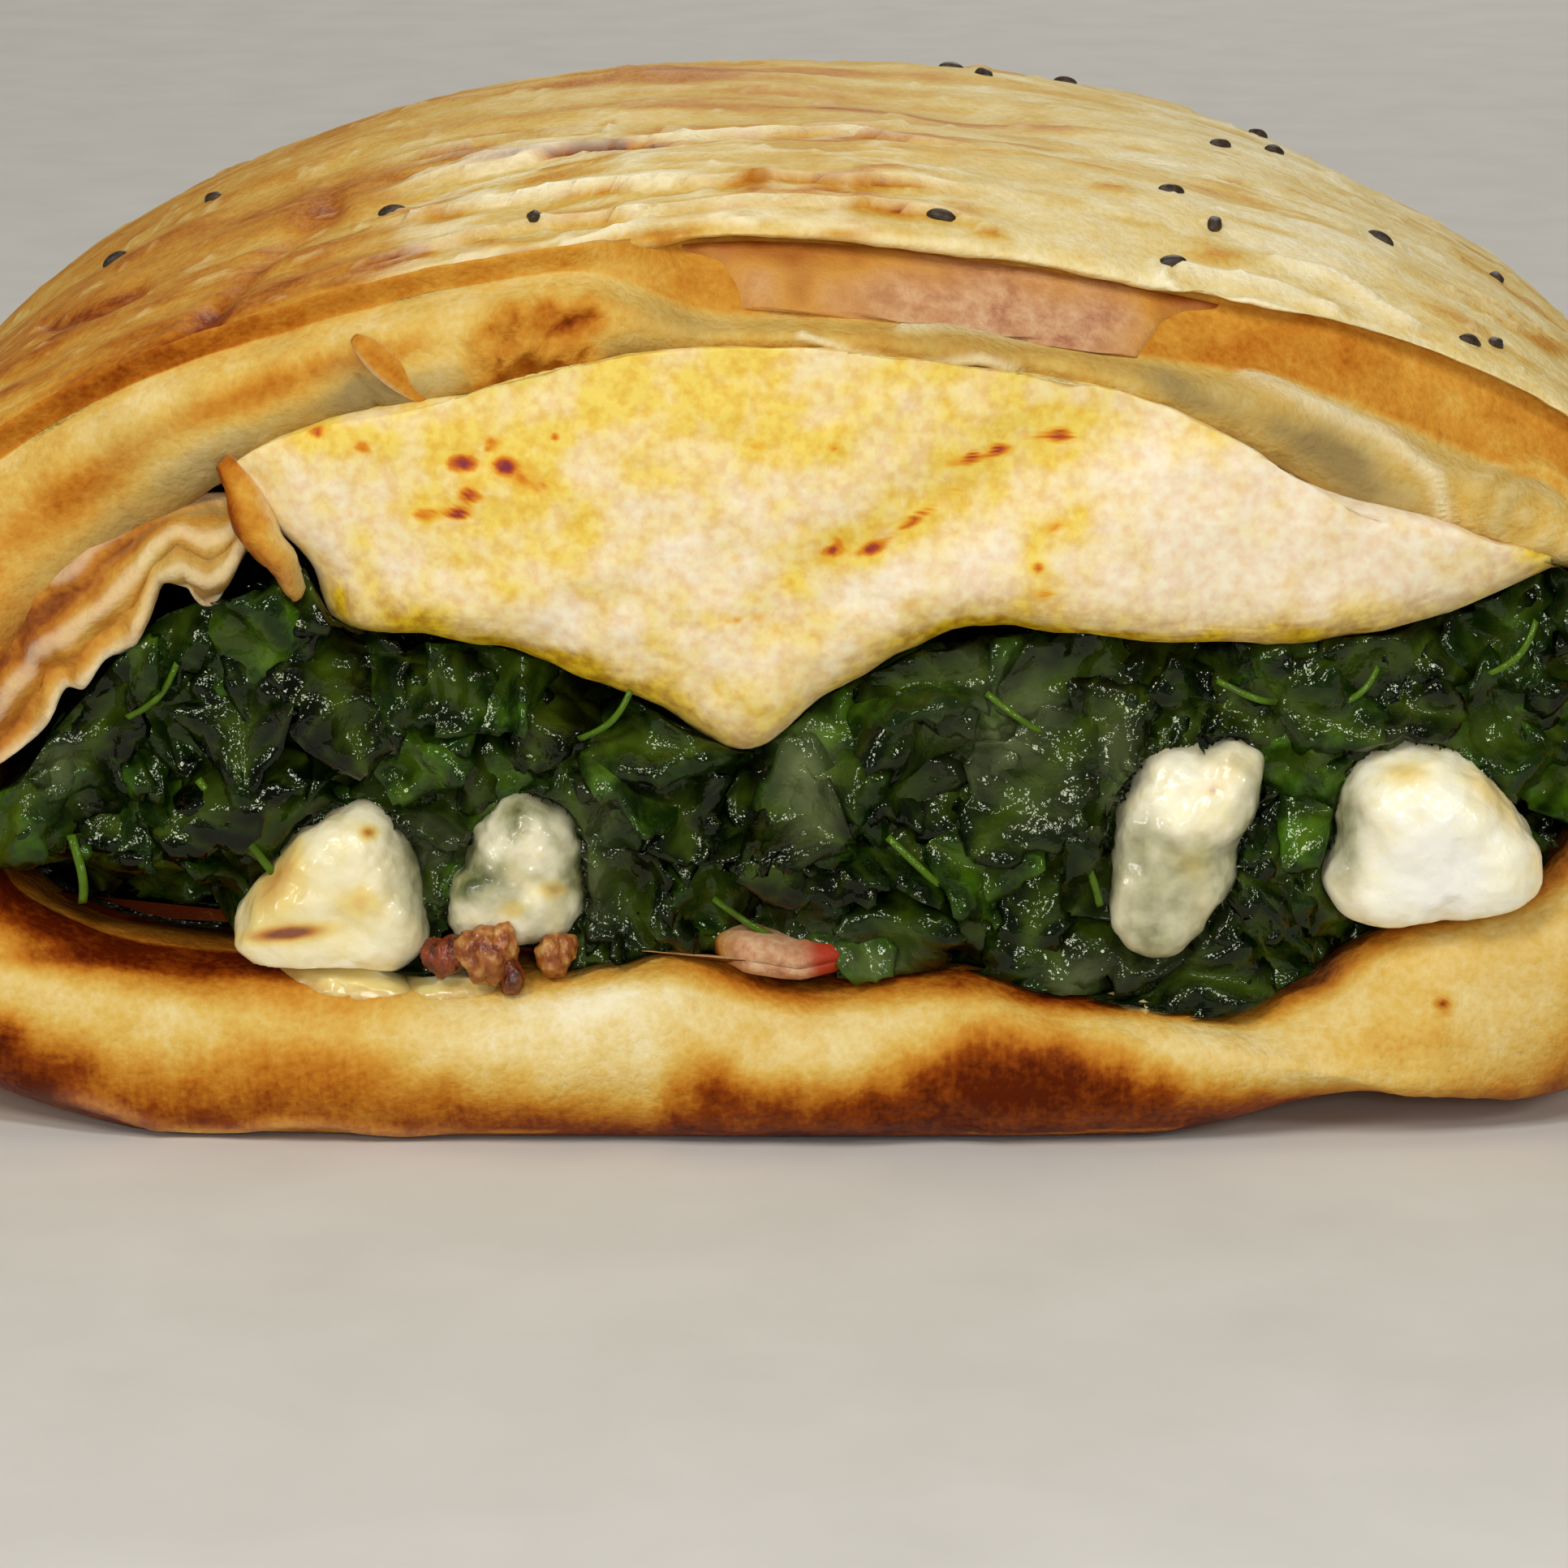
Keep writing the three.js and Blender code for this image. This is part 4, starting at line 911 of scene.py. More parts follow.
# Its lower rim is seared yellow, spice has stained its face in patches, and a few specks of it show
shown = seen(chicken)
lower_rim = ease(0.0, -0.5, np.sin(angles))[None, :]
rim = ease(0.8, 0.94, share + 0.06 * cloud(chicken, 2, 43)) * lower_rim
rim = clamp(rim * mix(1, 0.35, bell(px, 1, 6)))
RIM_MARKS = [  # middle, half size, tilt, strength
    ((-22.3, 9.6), (4.2, 1.6), -28, 0.9), ((-16, 5.6), (4.5, 1.3), -24, 0.5),
    ((-27.4, 11.4), (1.2, 1.5), 0, 0.6), ((46.2, 14), (2.6, 1.8), 35, 0.9),
    ((14, 10.4), (5.5, 1.4), 4, 0.7), ((30, 9.4), (12, 1.3), 3, 0.8),
]
rim = clamp(rim + spots(shown, RIM_MARKS) * (0.8 + 0.6 * cloud(chicken, 1.8, 44)))
yellow = 0.44 + 0.42 * ease(19, 25, shown[1]) + 0.3 * cloud(chicken, 5, 45)
PALE, PALE_HALF = (30, 15), (13, 6)
yellow = yellow - 0.5 * spot(shown, PALE, PALE_HALF)
YELLOW_MARKS = [  # middle, half size, tilt
    ((-18.6, 18), (4.4, 2.8), -10), ((8, 17), (7, 1.6), 25), ((16, 21.4), (4, 1.2), 10),
    ((0, 21), (5, 1.4), 0), ((-25.4, 21), (2.6, 0.8), 0), ((-14, 14.6), (1.6, 1), 0),
    ((-26, 14), (1, 2.4), 15), ((16.6, 15.6), (2, 1.4), 20),
]
yellow = yellow + sum(0.5 * spot(shown, *mark) for mark in YELLOW_MARKS)
SPICE_MARKS = [  # middle, half size, tilt, strength
    ((-20, 19.8), (1.0, 0.5), 0, 0.85), ((-18.4, 20.9), (0.8, 0.5), 10, 0.7),
    ((-19.2, 17.9), (0.9, 0.5), 20, 0.75), ((-17.3, 19.6), (0.7, 0.5), 0, 1.0),
    ((-19.9, 16.6), (1.0, 0.45), 0, 0.6), ((-15.6, 18.6), (1.6, 0.8), -20, 0.4),
    ((-22, 16.6), (1.1, 0.5), 10, 0.35), ((-14.1, 21.4), (0.35, 0.3), 0, 0.6),
    ((-28.9, 21.7), (0.5, 0.35), 20, 1.0), ((-25.9, 20.8), (0.7, 0.4), 0, 0.4),
    ((-1.4, 20.6), (1.1, 0.5), 0, 0.3), ((3, 20.7), (0.4, 0.35), 0, 0.4),
    ((12.2, 20.3), (1.8, 0.4), 18, 0.65), ((16.3, 21.4), (1.1, 0.45), 0, 0.6),
    ((17.2, 21.5), (0.4, 0.35), 0, 1.1), ((2.9, 14.6), (1.0, 0.6), 0, 0.6),
    ((5.4, 14.5), (0.9, 0.4), 25, 0.6), ((7.9, 16.2), (1.7, 0.3), 35, 0.6),
    ((17.1, 15.9), (0.9, 0.6), 25, 0.55), ((0.2, 12.4), (0.5, 0.4), 0, 0.4),
    ((-2.9, 10.2), (1.6, 0.4), 0, 0.3), ((15.7, 13.3), (0.4, 0.35), 0, 0.5),
    ((16, 11.6), (0.7, 0.4), 0, 0.5), ((10.8, 18.2), (1.2, 0.5), 10, 0.25),
]
spice = spots(shown, SPICE_MARKS) * (1 + 1.1 * cloud(chicken, 0.8, 46))
halo = sum(amount * spot(shown, middle, (1.8 * half[0] + 0.5, 1.6 * half[1] + 0.6), tilt)
           for middle, half, tilt, amount in SPICE_MARKS)
yellow = yellow + 1.1 * halo


def cooked_chicken():
    """Cooked breast: soft, moist and almost matt, with fine yellow and rosy grain and specks of spice."""
    material, tree, shader, place, yellow, rim, spice = new_finish(
        "cooked chicken", "yellow", "rim", "spice", IOR=1.42, Specular_IOR_Level=0.3, Subsurface_Weight=0.2,
        Subsurface_Radius=(1.0, 0.6, 0.4), Subsurface_Scale=1.5 * MM)
    grain = add_node(tree, "TexNoise", {"Vector": place, "Scale": 1 / (0.8 * MM), "Detail": 3.0})
    fleck = add_node(tree, "TexNoise", {"Vector": place, "Scale": 1 / (1.9 * MM), "Detail": 3.0})
    meat = add_node(tree, "ValToRGB", {"Fac": grain},
                    stops=[(0.34, "#efd6b4"), (0.5, "#f4e2c4"), (0.66, "#f7ecd0")])
    golden = add_node(tree, "ValToRGB", {"Fac": grain}, stops=[(0.35, "#e6bd48"), (0.6, "#f0d566")])
    shift = add_node(tree, "Math", {0: fleck, 1: 1.8, 2: -0.9}, operation="MULTIPLY_ADD")
    amount = add_node(tree, "Math", {0: yellow, 1: shift}, operation="ADD", use_clamp=True)
    tinted = add_node(tree, "MixRGB", {"Fac": amount, "Color1": meat, "Color2": golden})
    crusty = add_node(tree, "ValToRGB", {"Fac": grain}, stops=[(0.35, "#b5860a"), (0.65, "#e4c022")])
    rimmed = add_node(tree, "MixRGB", {"Fac": rim, "Color1": tinted, "Color2": crusty})
    spiced = add_node(tree, "ValToRGB", {"Fac": spice},
                      stops=[(0.1, "#efc02c"), (0.45, "#dd8c1c"), (0.75, "#b64c1c"), (1.0, "#86303a")])
    cover = add_node(tree, "MapRange", {"Value": spice, "From Min": 0.08, "From Max": 0.4})
    specked = add_node(tree, "MixRGB", {"Fac": cover, "Color1": rimmed, "Color2": spiced})
    rough = add_node(tree, "MapRange", {"Value": fleck, "To Min": 0.45, "To Max": 0.75})
    dent = add_node(tree, "Bump", {"Height": grain, "Strength": 0.3, "Distance": 0.2 * MM})
    drive(tree, shader, Base_Color=specked, Roughness=rough, Normal=dent)
    return material


make_piece("chicken_breast", [skin(chicken, yellow=clamp(yellow), rim=rim, spice=clamp(spice))],
           cooked_chicken(), "chicken", "chicken")

# ---------------------------------------------------------------------------------------------------
# Mozzarella. Four lumps of melted cheese: two plump white ones, and two that have run thin over the
# spinach and are stained green by it. All are wet and puffed, with golden, blistered tops.
RIM_BACK = 6.4  # how far behind the lip a lump is at its widest
LUMPS = {  # outline across and up, distance of its front and its back behind the lip, how ragged it is
    "mozzarella_left": ([(-33.9, 12.0), (-31.8, 17.0), (-28.3, 20.6), (-25.8, 20.9), (-23.6, 18.4),
                         (-22.7, 15.7), (-22.2, 12.4), (-27.3, 10.4)], 2.4, 16, 0.05),
    "mozzarella_centre_left": ([(-20.9, 13.4), (-19.9, 16.9), (-18.6, 19.8), (-15.6, 21.5), (-13.4, 20.4),
                                (-12.6, 16.7), (-12.9, 13.4), (-16.8, 12.1)], 3.0, 17, 0.16),
    "mozzarella_centre_right": ([(20.2, 16.7), (20.6, 20.9), (23, 24), (26.2, 25), (29.6, 24.2), (29.7, 21.6),
                                 (28.2, 18.4), (26.7, 14.3), (23.7, 11.6), (21.1, 12.8)], 3.0, 16, 0.06),
    "mozzarella_right": ([(34.6, 14.6), (34.4, 19.3), (35.7, 23.6), (38.9, 24.8), (41.2, 24.3), (43.4, 22.9),
                          (45.4, 20.6), (46.7, 17.9), (46.4, 15.6), (41, 13.8)], 2.2, 16, 0.02),
}


def pillow(outline, near, far, ragged, seed, around=150, rows=84, rough=0.25):
    """A puffed lump with the given outline from the front: its rings from the back to the front."""
    centre = np.mean(outline, 0)
    angle = (np.arange(around) / around - 0.5) * TAU
    circle = np.stack([np.cos(angle), np.sin(angle), 0 * angle], -1)
    reach = reach_of(outline, centre)(angle) * (1 + ragged * cloud(circle, 0.5, seed + 2))
    pole = np.linspace(0.03, np.pi - 0.03, rows)[:, None]
    spread = reach[None, :] * np.sin(pole) ** 0.75
    sag = mix(1, 0.4, ease(0.2, -0.7, np.sin(angle)))
    depth = mix(RIM_BACK, np.where(pole > np.pi / 2, near, far), np.abs(np.cos(pole)) ** sag)
    points = np.stack([centre[0] + spread * np.cos(angle), depth - LENGTH / 2 + 0 * spread,
                       centre[1] + spread * np.sin(angle)], -1)
    dents = rough * (1.6 * cloud(points, 4, seed) + 0.4 * cloud(points, 1.3, seed + 1))
    return keep_inside(points + dents[..., None] * outward(points), 0.3)


def melted_mozzarella():
    """Melted mozzarella: wet, glossy and milky, light soaking into it; gold where blistered, green
    where it has run thin over the leaves."""
    material, tree, shader, place, gold, stain, white = new_finish(
        "melted mozzarella", "gold", "stain", "white", IOR=1.45, Subsurface_Weight=0.4, Coat_Weight=0.4,
        Coat_Roughness=0.12, Subsurface_Radius=(1.0, 0.85, 0.6), Subsurface_Scale=1.6 * MM)
    curd = add_node(tree, "TexNoise", {"Vector": place, "Scale": 1 / (1.4 * MM), "Detail": 4.0})
    pits = add_node(tree, "TexNoise", {"Vector": place, "Scale": 1 / (0.6 * MM), "Detail": 2.0})
    milk = add_node(tree, "ValToRGB", {"Fac": curd}, stops=[(0.3, "#f6e9b4"), (0.55, "#fdf6da")])
    golden = add_node(tree, "ValToRGB", {"Fac": gold},
                      stops=[(0.0, "#fbf1c4"), (0.4, "#efd684"), (0.75, "#d2923a"), (1.0, "#8a4426")])
    cover = add_node(tree, "MapRange", {"Value": gold, "From Min": 0.02, "From Max": 0.3})
    cream = add_node(tree, "MixRGB", {"Fac": cover, "Color1": milk, "Color2": golden})
    bleached = add_node(tree, "MixRGB", {"Fac": white, "Color1": cream, "Color2": colour("#fffdf4")})
    green = add_node(tree, "ValToRGB", {"Fac": curd}, stops=[(0.35, "#4b5528"), (0.65, "#a09f6b")])
    stained = add_node(tree, "MixRGB", {"Fac": stain, "Color1": bleached, "Color2": green})
    rough = add_node(tree, "MapRange", {"Value": curd, "To Min": 0.2, "To Max": 0.45})
    fine = add_node(tree, "Bump", {"Height": pits, "Strength": 0.3, "Distance": 0.15 * MM})
    dent = add_node(tree, "Bump", {"Height": curd, "Strength": 0.4, "Distance": 0.4 * MM, "Normal": fine})
    drive(tree, shader, Base_Color=stained, Roughness=rough, Normal=dent)
    return material


cheese_finish = melted_mozzarella()
GOLD_MARKS = [  # middle, half size, tilt, strength
    ((-30.6, -9.2), (2.4, 0.45), 6, 1.0), ((-31, -7), (1.6, 2.4), -30, 0.25),
    ((-26.4, -7.4), (1.4, 1.0), 0, 0.3), ((-25.6, -3), (0.5, 0.4), 0, 0.7),
    ((-31.6, -6), (0.9, 2.4), -30, 0.35), ((-16.7, -7.7), (0.9, 0.6), 0, 0.5),
    ((-14.2, -6.5), (1.0, 0.6), 0, 0.6), ((26.6, 0.6), (2.6, 1.2), 15, 0.35),
    ((25, -4.9), (1.2, 1.0), 0, 0.35), ((38.4, 0.6), (1.6, 0.9), 0, 0.4),
    ((43.6, -0.6), (2.6, 0.9), -42, 0.4), ((26.5, -0.4), (0.4, 0.3), 0, 0.7),
]
WHITE_MARKS = [((40.5, -5.5), (4.5, 4), 0.9), ((25.4, 0.4), (2.4, 1.6), 0.6)]
STAIN_MARKS = [  # the sides that touch the leaves, and two clean patches
    ((-22.2, -4), (1.8, 5), 0.8), ((34.6, -3), (1.2, 4), 0.8), ((29.6, -4), (1.6, 5), 0.8),
    ((25.4, -1), (2.6, 2.2), -0.9), ((-15.5, -3.4), (1.8, 1.6), -0.5),
]
STAIN = {"mozzarella_left": 0.08, "mozzarella_centre_left": 0.62, "mozzarella_centre_right": 0.5,
         "mozzarella_right": 0.0}
FILM_THICK, FILM_SUNK = 0.9, 0.8  # over the dough in the middle, and under its surface
FILMS = {  # where a lump has run out over the lip: middle and half size in the picture, tilt
    "mozzarella_left": [((-27, -10.6), (5.2, 2.9), -6), ((-20.8, -11.4), (3.4, 2.1), -4)],
    "mozzarella_centre_right": [((22.4, -12.2), (3.2, 1.9), -6)],
}


def film(middle, half, tilt, seed):
    """A thin run of cheese that lies on the dough: its top from the middle to the rim, then its underside."""
    angle = np.arange(90) / 90 * TAU
    out_to = np.append(np.linspace(0.03, 1, 20), 0.4)[:, None]
    circle = np.stack([np.cos(angle), np.sin(angle), 0 * angle], -1)
    rim = 1 + 0.16 * cloud(circle, 0.7, seed)
    lean = np.radians(tilt)
    right, up = half[0] * out_to * rim * np.cos(angle), half[1] * out_to * rim * np.sin(angle)
    places = np.stack([middle[0] + right * np.cos(lean) - up * np.sin(lean),
                       middle[1] + right * np.sin(lean) + up * np.cos(lean)], -1)
    under, way = draped(places)
    thick = FILM_THICK * (1 - out_to**2) - 0.14 + 0.12 * cloud(under, 1.5, seed)
    thick[-1] = -FILM_SUNK
    return under + thick[..., None] * way


for i, (node, (outline, near, far, ragged)) in enumerate(LUMPS.items()):
    rings = pillow(outline, near, far, ragged, 50 + 3 * i)
    shown = seen(rings)
    gold = spots(shown, GOLD_MARKS) + 0.15 * clamp(cloud(rings, 2.4, 52 + i))
    gold = gold + 0.12 * (node == "mozzarella_left")
    stain = clamp(STAIN[node] * (1 + 0.9 * cloud(rings, 3, 60 + i)) + spots(shown, STAIN_MARKS))
    cheese_skins = [skin(rings, gold=clamp(gold), stain=stain, white=clamp(spots(shown, WHITE_MARKS)))]
    for j, run_out in enumerate(FILMS.get(node, [])):
        rings = film(*run_out, 90 + 3 * i + j)
        patchy = 0.5 + 0.5 * cloud(rings, 1.8, 93 + j) + ease(8, 20, np.arange(len(rings)))[:, None]
        golden, stained = clamp(0.12 + 0.3 * patchy), clamp(0.14 * patchy)
        cheese_skins.append(skin(rings, gold=golden, stain=stained, white=0 * patchy))
    make_piece("melted_" + node, cheese_skins, cheese_finish, "mozzarella", node)

# ---------------------------------------------------------------------------------------------------
# Sausage crumbs. Torn bits of browned sausage that have fallen out on the bottom lip: rough, greasy
# and dark red-brown, with lighter fat between.
CRUMBS = {  # across, back and up of the middle, then the half sizes
    "sausage_left": [
        ((-21.0, 3.5, 12.0), (1.5, 1.4, 1.2)), ((-18.4, 3.2, 12.2), (1.6, 1.5, 1.9)),
        ((-16.9, 2.9, 10.9), (0.8, 1.1, 1.2)), ((-17.3, 2.9, 12.9), (0.8, 1.1, 1.4)),
        ((-19.6, 3.0, 12.7), (0.8, 1.0, 0.9)),
    ],
    "sausage_right": [((-14.2, 3.8, 12.0), (1.1, 1.3, 1.4)), ((-13.4, 3.4, 12.4), (0.6, 1.0, 0.9))],
}


def crumb(middle, half, seed):
    angle = (np.arange(72) / 72 - 0.5) * TAU
    pole = np.linspace(0.05, np.pi - 0.05, 48)[:, None]
    girth = np.sin(pole)
    ball = np.stack([girth * np.cos(angle), np.cos(pole + 0 * angle), girth * np.sin(angle)], -1)
    points = ball * half + [middle[0], middle[1] - LENGTH / 2, middle[2]]
    bumps = 0.22 * cloud(points * [1.6, 1, 0.7], 1.0, seed) + 0.12 * cloud(points, 0.5, seed + 1)
    return points + bumps[..., None] * ball


# Browned sausage: coarse mince with streaks of paler fat, and a greasy shine over both
crumb_finish, tree, shader, place, dark = new_finish(
    "browned sausage", "dark", IOR=1.45, Subsurface_Weight=0.2, Coat_Weight=0.35, Coat_Roughness=0.15,
    Subsurface_Radius=(1.0, 0.4, 0.2), Subsurface_Scale=0.8 * MM)
mince = add_node(tree, "TexNoise", {"Vector": place, "Scale": 1 / (0.9 * MM), "Detail": 4.0})
fat = add_node(tree, "ValToRGB", {"Fac": mince},
               stops=[(0.3, "#84390c"), (0.5, "#ad6720"), (0.68, "#cda45a")])
seared = add_node(tree, "ValToRGB", {"Fac": mince}, stops=[(0.35, "#471304"), (0.65, "#8b3a12")])
meat = add_node(tree, "MixRGB", {"Fac": dark, "Color1": fat, "Color2": seared})
rough = add_node(tree, "MapRange", {"Value": mince, "To Min": 0.25, "To Max": 0.55})
dent = add_node(tree, "Bump", {"Height": mince, "Strength": 0.5, "Distance": 0.3 * MM})
drive(tree, shader, Base_Color=meat, Roughness=rough, Normal=dent)
DARK = {"sausage_left": [1.0, 0.3, 0.95, 0.1, 0.2], "sausage_right": [0.25, 0.4]}
for node, balls in CRUMBS.items():
    crumbs = [skin(crumb(*ball, 70 + 2 * i), dark=np.full((1, 1), tone))
              for i, (ball, tone) in enumerate(zip(balls, DARK[node]))]
    make_piece("crumbs_" + node, crumbs, crumb_finish, "sausage", node)

# ---------------------------------------------------------------------------------------------------
# Spinach. A thick bed of wilted leaves, wet with cooking juice and cheese: deep green on the folds, with
# paler ribs and stems. A core runs through the loaf, leaves lie on it; the core is painted nearly black, as
# shade in the gaps between them.
BED_BACK = 6.2  # how far the bed's face lies behind the lip
LEAF_THICK = 0.35
FRILL_HEM = np.array([
    (-50, 21), (-47.3, 22.7), (-45.3, 25.8), (-43.3, 27.9), (-40.8, 31), (-38.3, 33), (-35.5, 34.2),
    (-31, 35.8), (-29.4, 36.4), (-27.8, 33.4), (-26, 32.6),
]).T


def ceiling(x):
    """The height of the frill's or the chicken's lower edge."""
    lower = np.array(sorted([*CHICKEN_OUTLINE[6:], CHICKEN_OUTLINE[0]]))
    return np.where(x < -26, np.interp(x, FRILL_HEM[0], FRILL_HEM[1]), np.interp(x, *lower.T))


def bed_back(across, up):
    """How far behind the lip the bed's lumpy face lies; hollow at the lower left, where the leaves end."""
    place = np.stack([across, 0 * across, up], -1)
    warped = place + 2 * np.stack([cloud(place, 5, seed) for seed in (84, 85, 89)], -1)
    lumps = 1.7 * ridged(warped, 8, 81) + 0.6 * cloud(warped, 3.2, 87)
    hollow = 5 * ease(-33, -36, across) * ease(17.2, 14.2, up + 0.5 * cloud(place, 2, 92))
    return BED_BACK + CUT_BOW * (across / 60) ** 2 - lumps + hollow


# The core's face lies a little behind the leaves, with fine folds of its own
CORE_FACE, CORE_BEHIND = 150, 2.4
core_stops = np.concatenate([[117.0, 110, 95, 76, 60, 44, 30, 20, 14, 10], np.full(CORE_FACE, 7.6)])
core_share = np.concatenate([[0.5], np.full(9, 0.985), np.linspace(0.985, 0.02, CORE_FACE)])[:, None]
core_turn = (np.arange(460) / 460 - 0.5) * TAU
dx, dz, hollow, _ = loaf_terms(core_turn[None, :], core_stops[:, None])
core_bow = CUT_BOW * np.cos(core_turn) ** 2 * core_share * ease(20, 8, core_stops)[:, None]
core_back = core_stops[:, None] + core_bow
core_height = axis_at(core_stops)[:, None] + hollow * core_share * dz
core = np.stack([hollow * core_share * dx, core_back - LENGTH / 2, core_height], -1)
core[..., 2] = np.minimum(core[..., 2], np.maximum(ceiling(core[..., 0]) - 0.6, 13))
fine_folds = 0.5 * ridged(core, 2.2, 88) + 0.25 * ridged(core, 1.0, 91)
face = (core_stops < 8)[:, None] * np.ones(len(core_turn), bool)
face_back = bed_back(core[..., 0], core[..., 2]) + CORE_BEHIND - fine_folds
core[..., 1] = np.where(face, face_back - LENGTH / 2, core[..., 1])
core = keep_inside(core, 0.3)

MILKY_MARKS = [  # thin melted cheese that has run over the leaves: middle, half size, tilt, strength
    ((1.2, 0.4), (1.6, 3.2), 10, 0.8), ((14, 2.6), (3.2, 4.6), 20, 0.45),
    ((4.4, -10.4), (3.4, 1.2), -8, 0.6), ((-17.6, -7), (2.4, 2.4), 0, 0.5),
    ((20.6, 0.4), (1.2, 3.6), 0, 0.5), ((-11.6, -1.6), (1.6, 2.2), 0, 0.25), ((-45, 1), (1.6, 2.4), 0, 0.3),
    ((-21.6, -4.5), (1.6, 3.2), 0, 0.5), ((-11.6, -6), (1.4, 2.6), 0, 0.35),
    ((18.4, -12), (2.2, 1.4), 0, 0.5), ((23, -9.6), (2.4, 1.6), 0, 0.4),
]


def milky_at(points):
    return clamp(spots(seen(points), MILKY_MARKS) * (1 + cloud(points, 2.5, 86)))


def wilted_spinach():
    """Wilted leaf: thin, dark and wet, and puckered all over, so that the lamps glint on the puckers."""
    material, tree, shader, place, tone, vein, milky = new_finish(
        "wilted spinach", "tone", "vein", "milky", Roughness=0.09, IOR=1.5, Specular_IOR_Level=0.36,
        Specular_Tint=colour("#ecf4da"))
    blotch = add_node(tree, "TexNoise", {"Vector": place, "Scale": 1 / (2.2 * MM), "Detail": 4.0})
    pucker = add_node(tree, "TexVoronoi", {"Vector": place, "Scale": 1 / (1.3 * MM)}, feature="SMOOTH_F1",
                      out="Distance")
    dip = add_node(tree, "Math", {0: pucker, 1: pucker}, operation="MULTIPLY")
    shift = add_node(tree, "Math", {0: blotch, 1: 1.2, 2: -0.6}, operation="MULTIPLY_ADD")
    level = add_node(tree, "Math", {0: tone, 1: shift}, operation="ADD", use_clamp=True)
    blade = add_node(tree, "ValToRGB", {"Fac": level},
                     stops=[(0.0, "#010300"), (0.4, "#061102"), (0.75, "#152b04"), (1.0, "#3c600c")])
    veined = add_node(tree, "MixRGB", {"Fac": vein, "Color1": blade, "Color2": colour("#66801e")})
    ribbed = add_node(tree, "MixRGB", {"Fac": 0.3, "Color1": blade, "Color2": veined})
    filmed = add_node(tree, "MixRGB", {"Fac": milky, "Color1": ribbed, "Color2": colour("#656f45")})
    creased = add_node(tree, "Bump", {"Height": blotch, "Strength": 1.0, "Distance": 0.4 * MM})
    dent = add_node(tree, "Bump", {"Height": dip, "Strength": 1.0, "Distance": 0.26 * MM, "Normal": creased},
                    invert=True)
    drive(tree, shader, Base_Color=filmed, Normal=dent)
    return material


CRUMBS_MIDDLE, CRUMBS_HALF, CRUMBS_BACK = (-18.2, 12.4), (5.6, 2.4), 6.5


def behind_lumps(points):
    """Moves what stands in front of a cheese lump or of the crumbs to just behind their faces."""
    near_crumbs = spot((points[..., 0], points[..., 2]), CRUMBS_MIDDLE, CRUMBS_HALF)
    least = CRUMBS_BACK * ease(0.2, 0.6, near_crumbs)
    for outline, near, _, _ in LUMPS.values():
        centre = np.mean(outline, 0)
        dx, dz = points[..., 0] - centre[0], points[..., 2] - centre[1]
        share = np.hypot(dx, dz) / reach_of(outline, centre)(np.arctan2(dz, dx))
        face_back = mix(RIM_BACK, near, np.sqrt(1 - clamp(share) ** 2.67))
        least = np.maximum(least, (face_back + 0.6) * ease(1.3, 1.0, share))
    return np.stack([points[..., 0], np.maximum(points[..., 1], least - LENGTH / 2), points[..., 2]], -1)


# Each leaf gets its own cell of a grid over the bed, so that they cover it evenly. It is wide in the
# middle and pointed at both ends, folded along its rib, curled back at its rim and crumpled
LEAVES = 165
LEAF_ROWS, LEAF_ACROSS = 20, 14
BED_LEFT, BED_RIGHT, BED_TOP = -49, 51.5, 37
LEAST_BACK = 1.6  # no leaf stands nearer to the lip than this
random = np.random.default_rng(5)
rows, columns = 7, 24
cell = random.permutation(rows * columns)[:LEAVES]
leaf_x = mix(BED_LEFT, BED_RIGHT, (cell % columns + random.uniform(0.1, 0.9, LEAVES)) / columns)
low = mouth_floor(leaf_x) + 0.9 + 3.4 * ease(-32, -36, leaf_x) + 3.0 * bell(leaf_x, 0.4, 4.6)
high = np.minimum(ceiling(leaf_x) - 1.2, BED_TOP)
leaf_z = mix(low, high, (cell // columns + random.uniform(0.1, 0.9, LEAVES)) / rows)
leaf_lift = random.uniform(-0.8, 2.0, LEAVES)
leaf_length = random.uniform(7, 12.5, LEAVES)[:, None, None]
leaf_width = random.uniform(5, 8.5, LEAVES)[:, None, None]
t = np.linspace(-1, 1, LEAF_ROWS)[None, :, None]
s = np.linspace(-1, 1, LEAF_ACROSS)[None, None, :]
fold = random.uniform(0.2, 0.9, LEAVES)[:, None, None]
arch = random.uniform(-0.02, 0.05, LEAVES)[:, None, None]
ragged = 1 + 0.18 * np.sin(7 * t + 9 * leaf_width) + 0.1 * np.sin(17 * t + 5 * leaf_length)
wx = s * leaf_width / 2 * np.maximum(0.02, 1 - np.abs(t) ** 2.2) ** 0.6 * ragged
wy = t * leaf_length / 2 + 0 * s
crumple = np.stack([wx, wy, 40.0 * np.arange(LEAVES)[:, None, None] + 0 * wx], -1)
vein = np.cos(TAU * (wy * 0.42 + np.abs(wx) * 0.34))
wz = fold * (np.abs(wx) - leaf_width / 5) + arch * wy**2 - 0.12 * vein * ease(0, 0.5, np.abs(wx))
wz -= random.uniform(0.6, 1.8, LEAVES)[:, None, None] * (1.1 * s**2 + 1.3 * t**2)
wz += 0.9 * cloud(crumple, 4.4, 82, 2) + 0.4 * ridged(crumple, 3.0, 83, 1)
leaf = np.stack([wx, wy, wz], -1)
rib = bell(s, 0, 1 / 3.2) + 0 * wx
vein_mark = clamp(0.8 * rib + 0.35 * ease(0.5, 1, vein))
leaf_skins = []
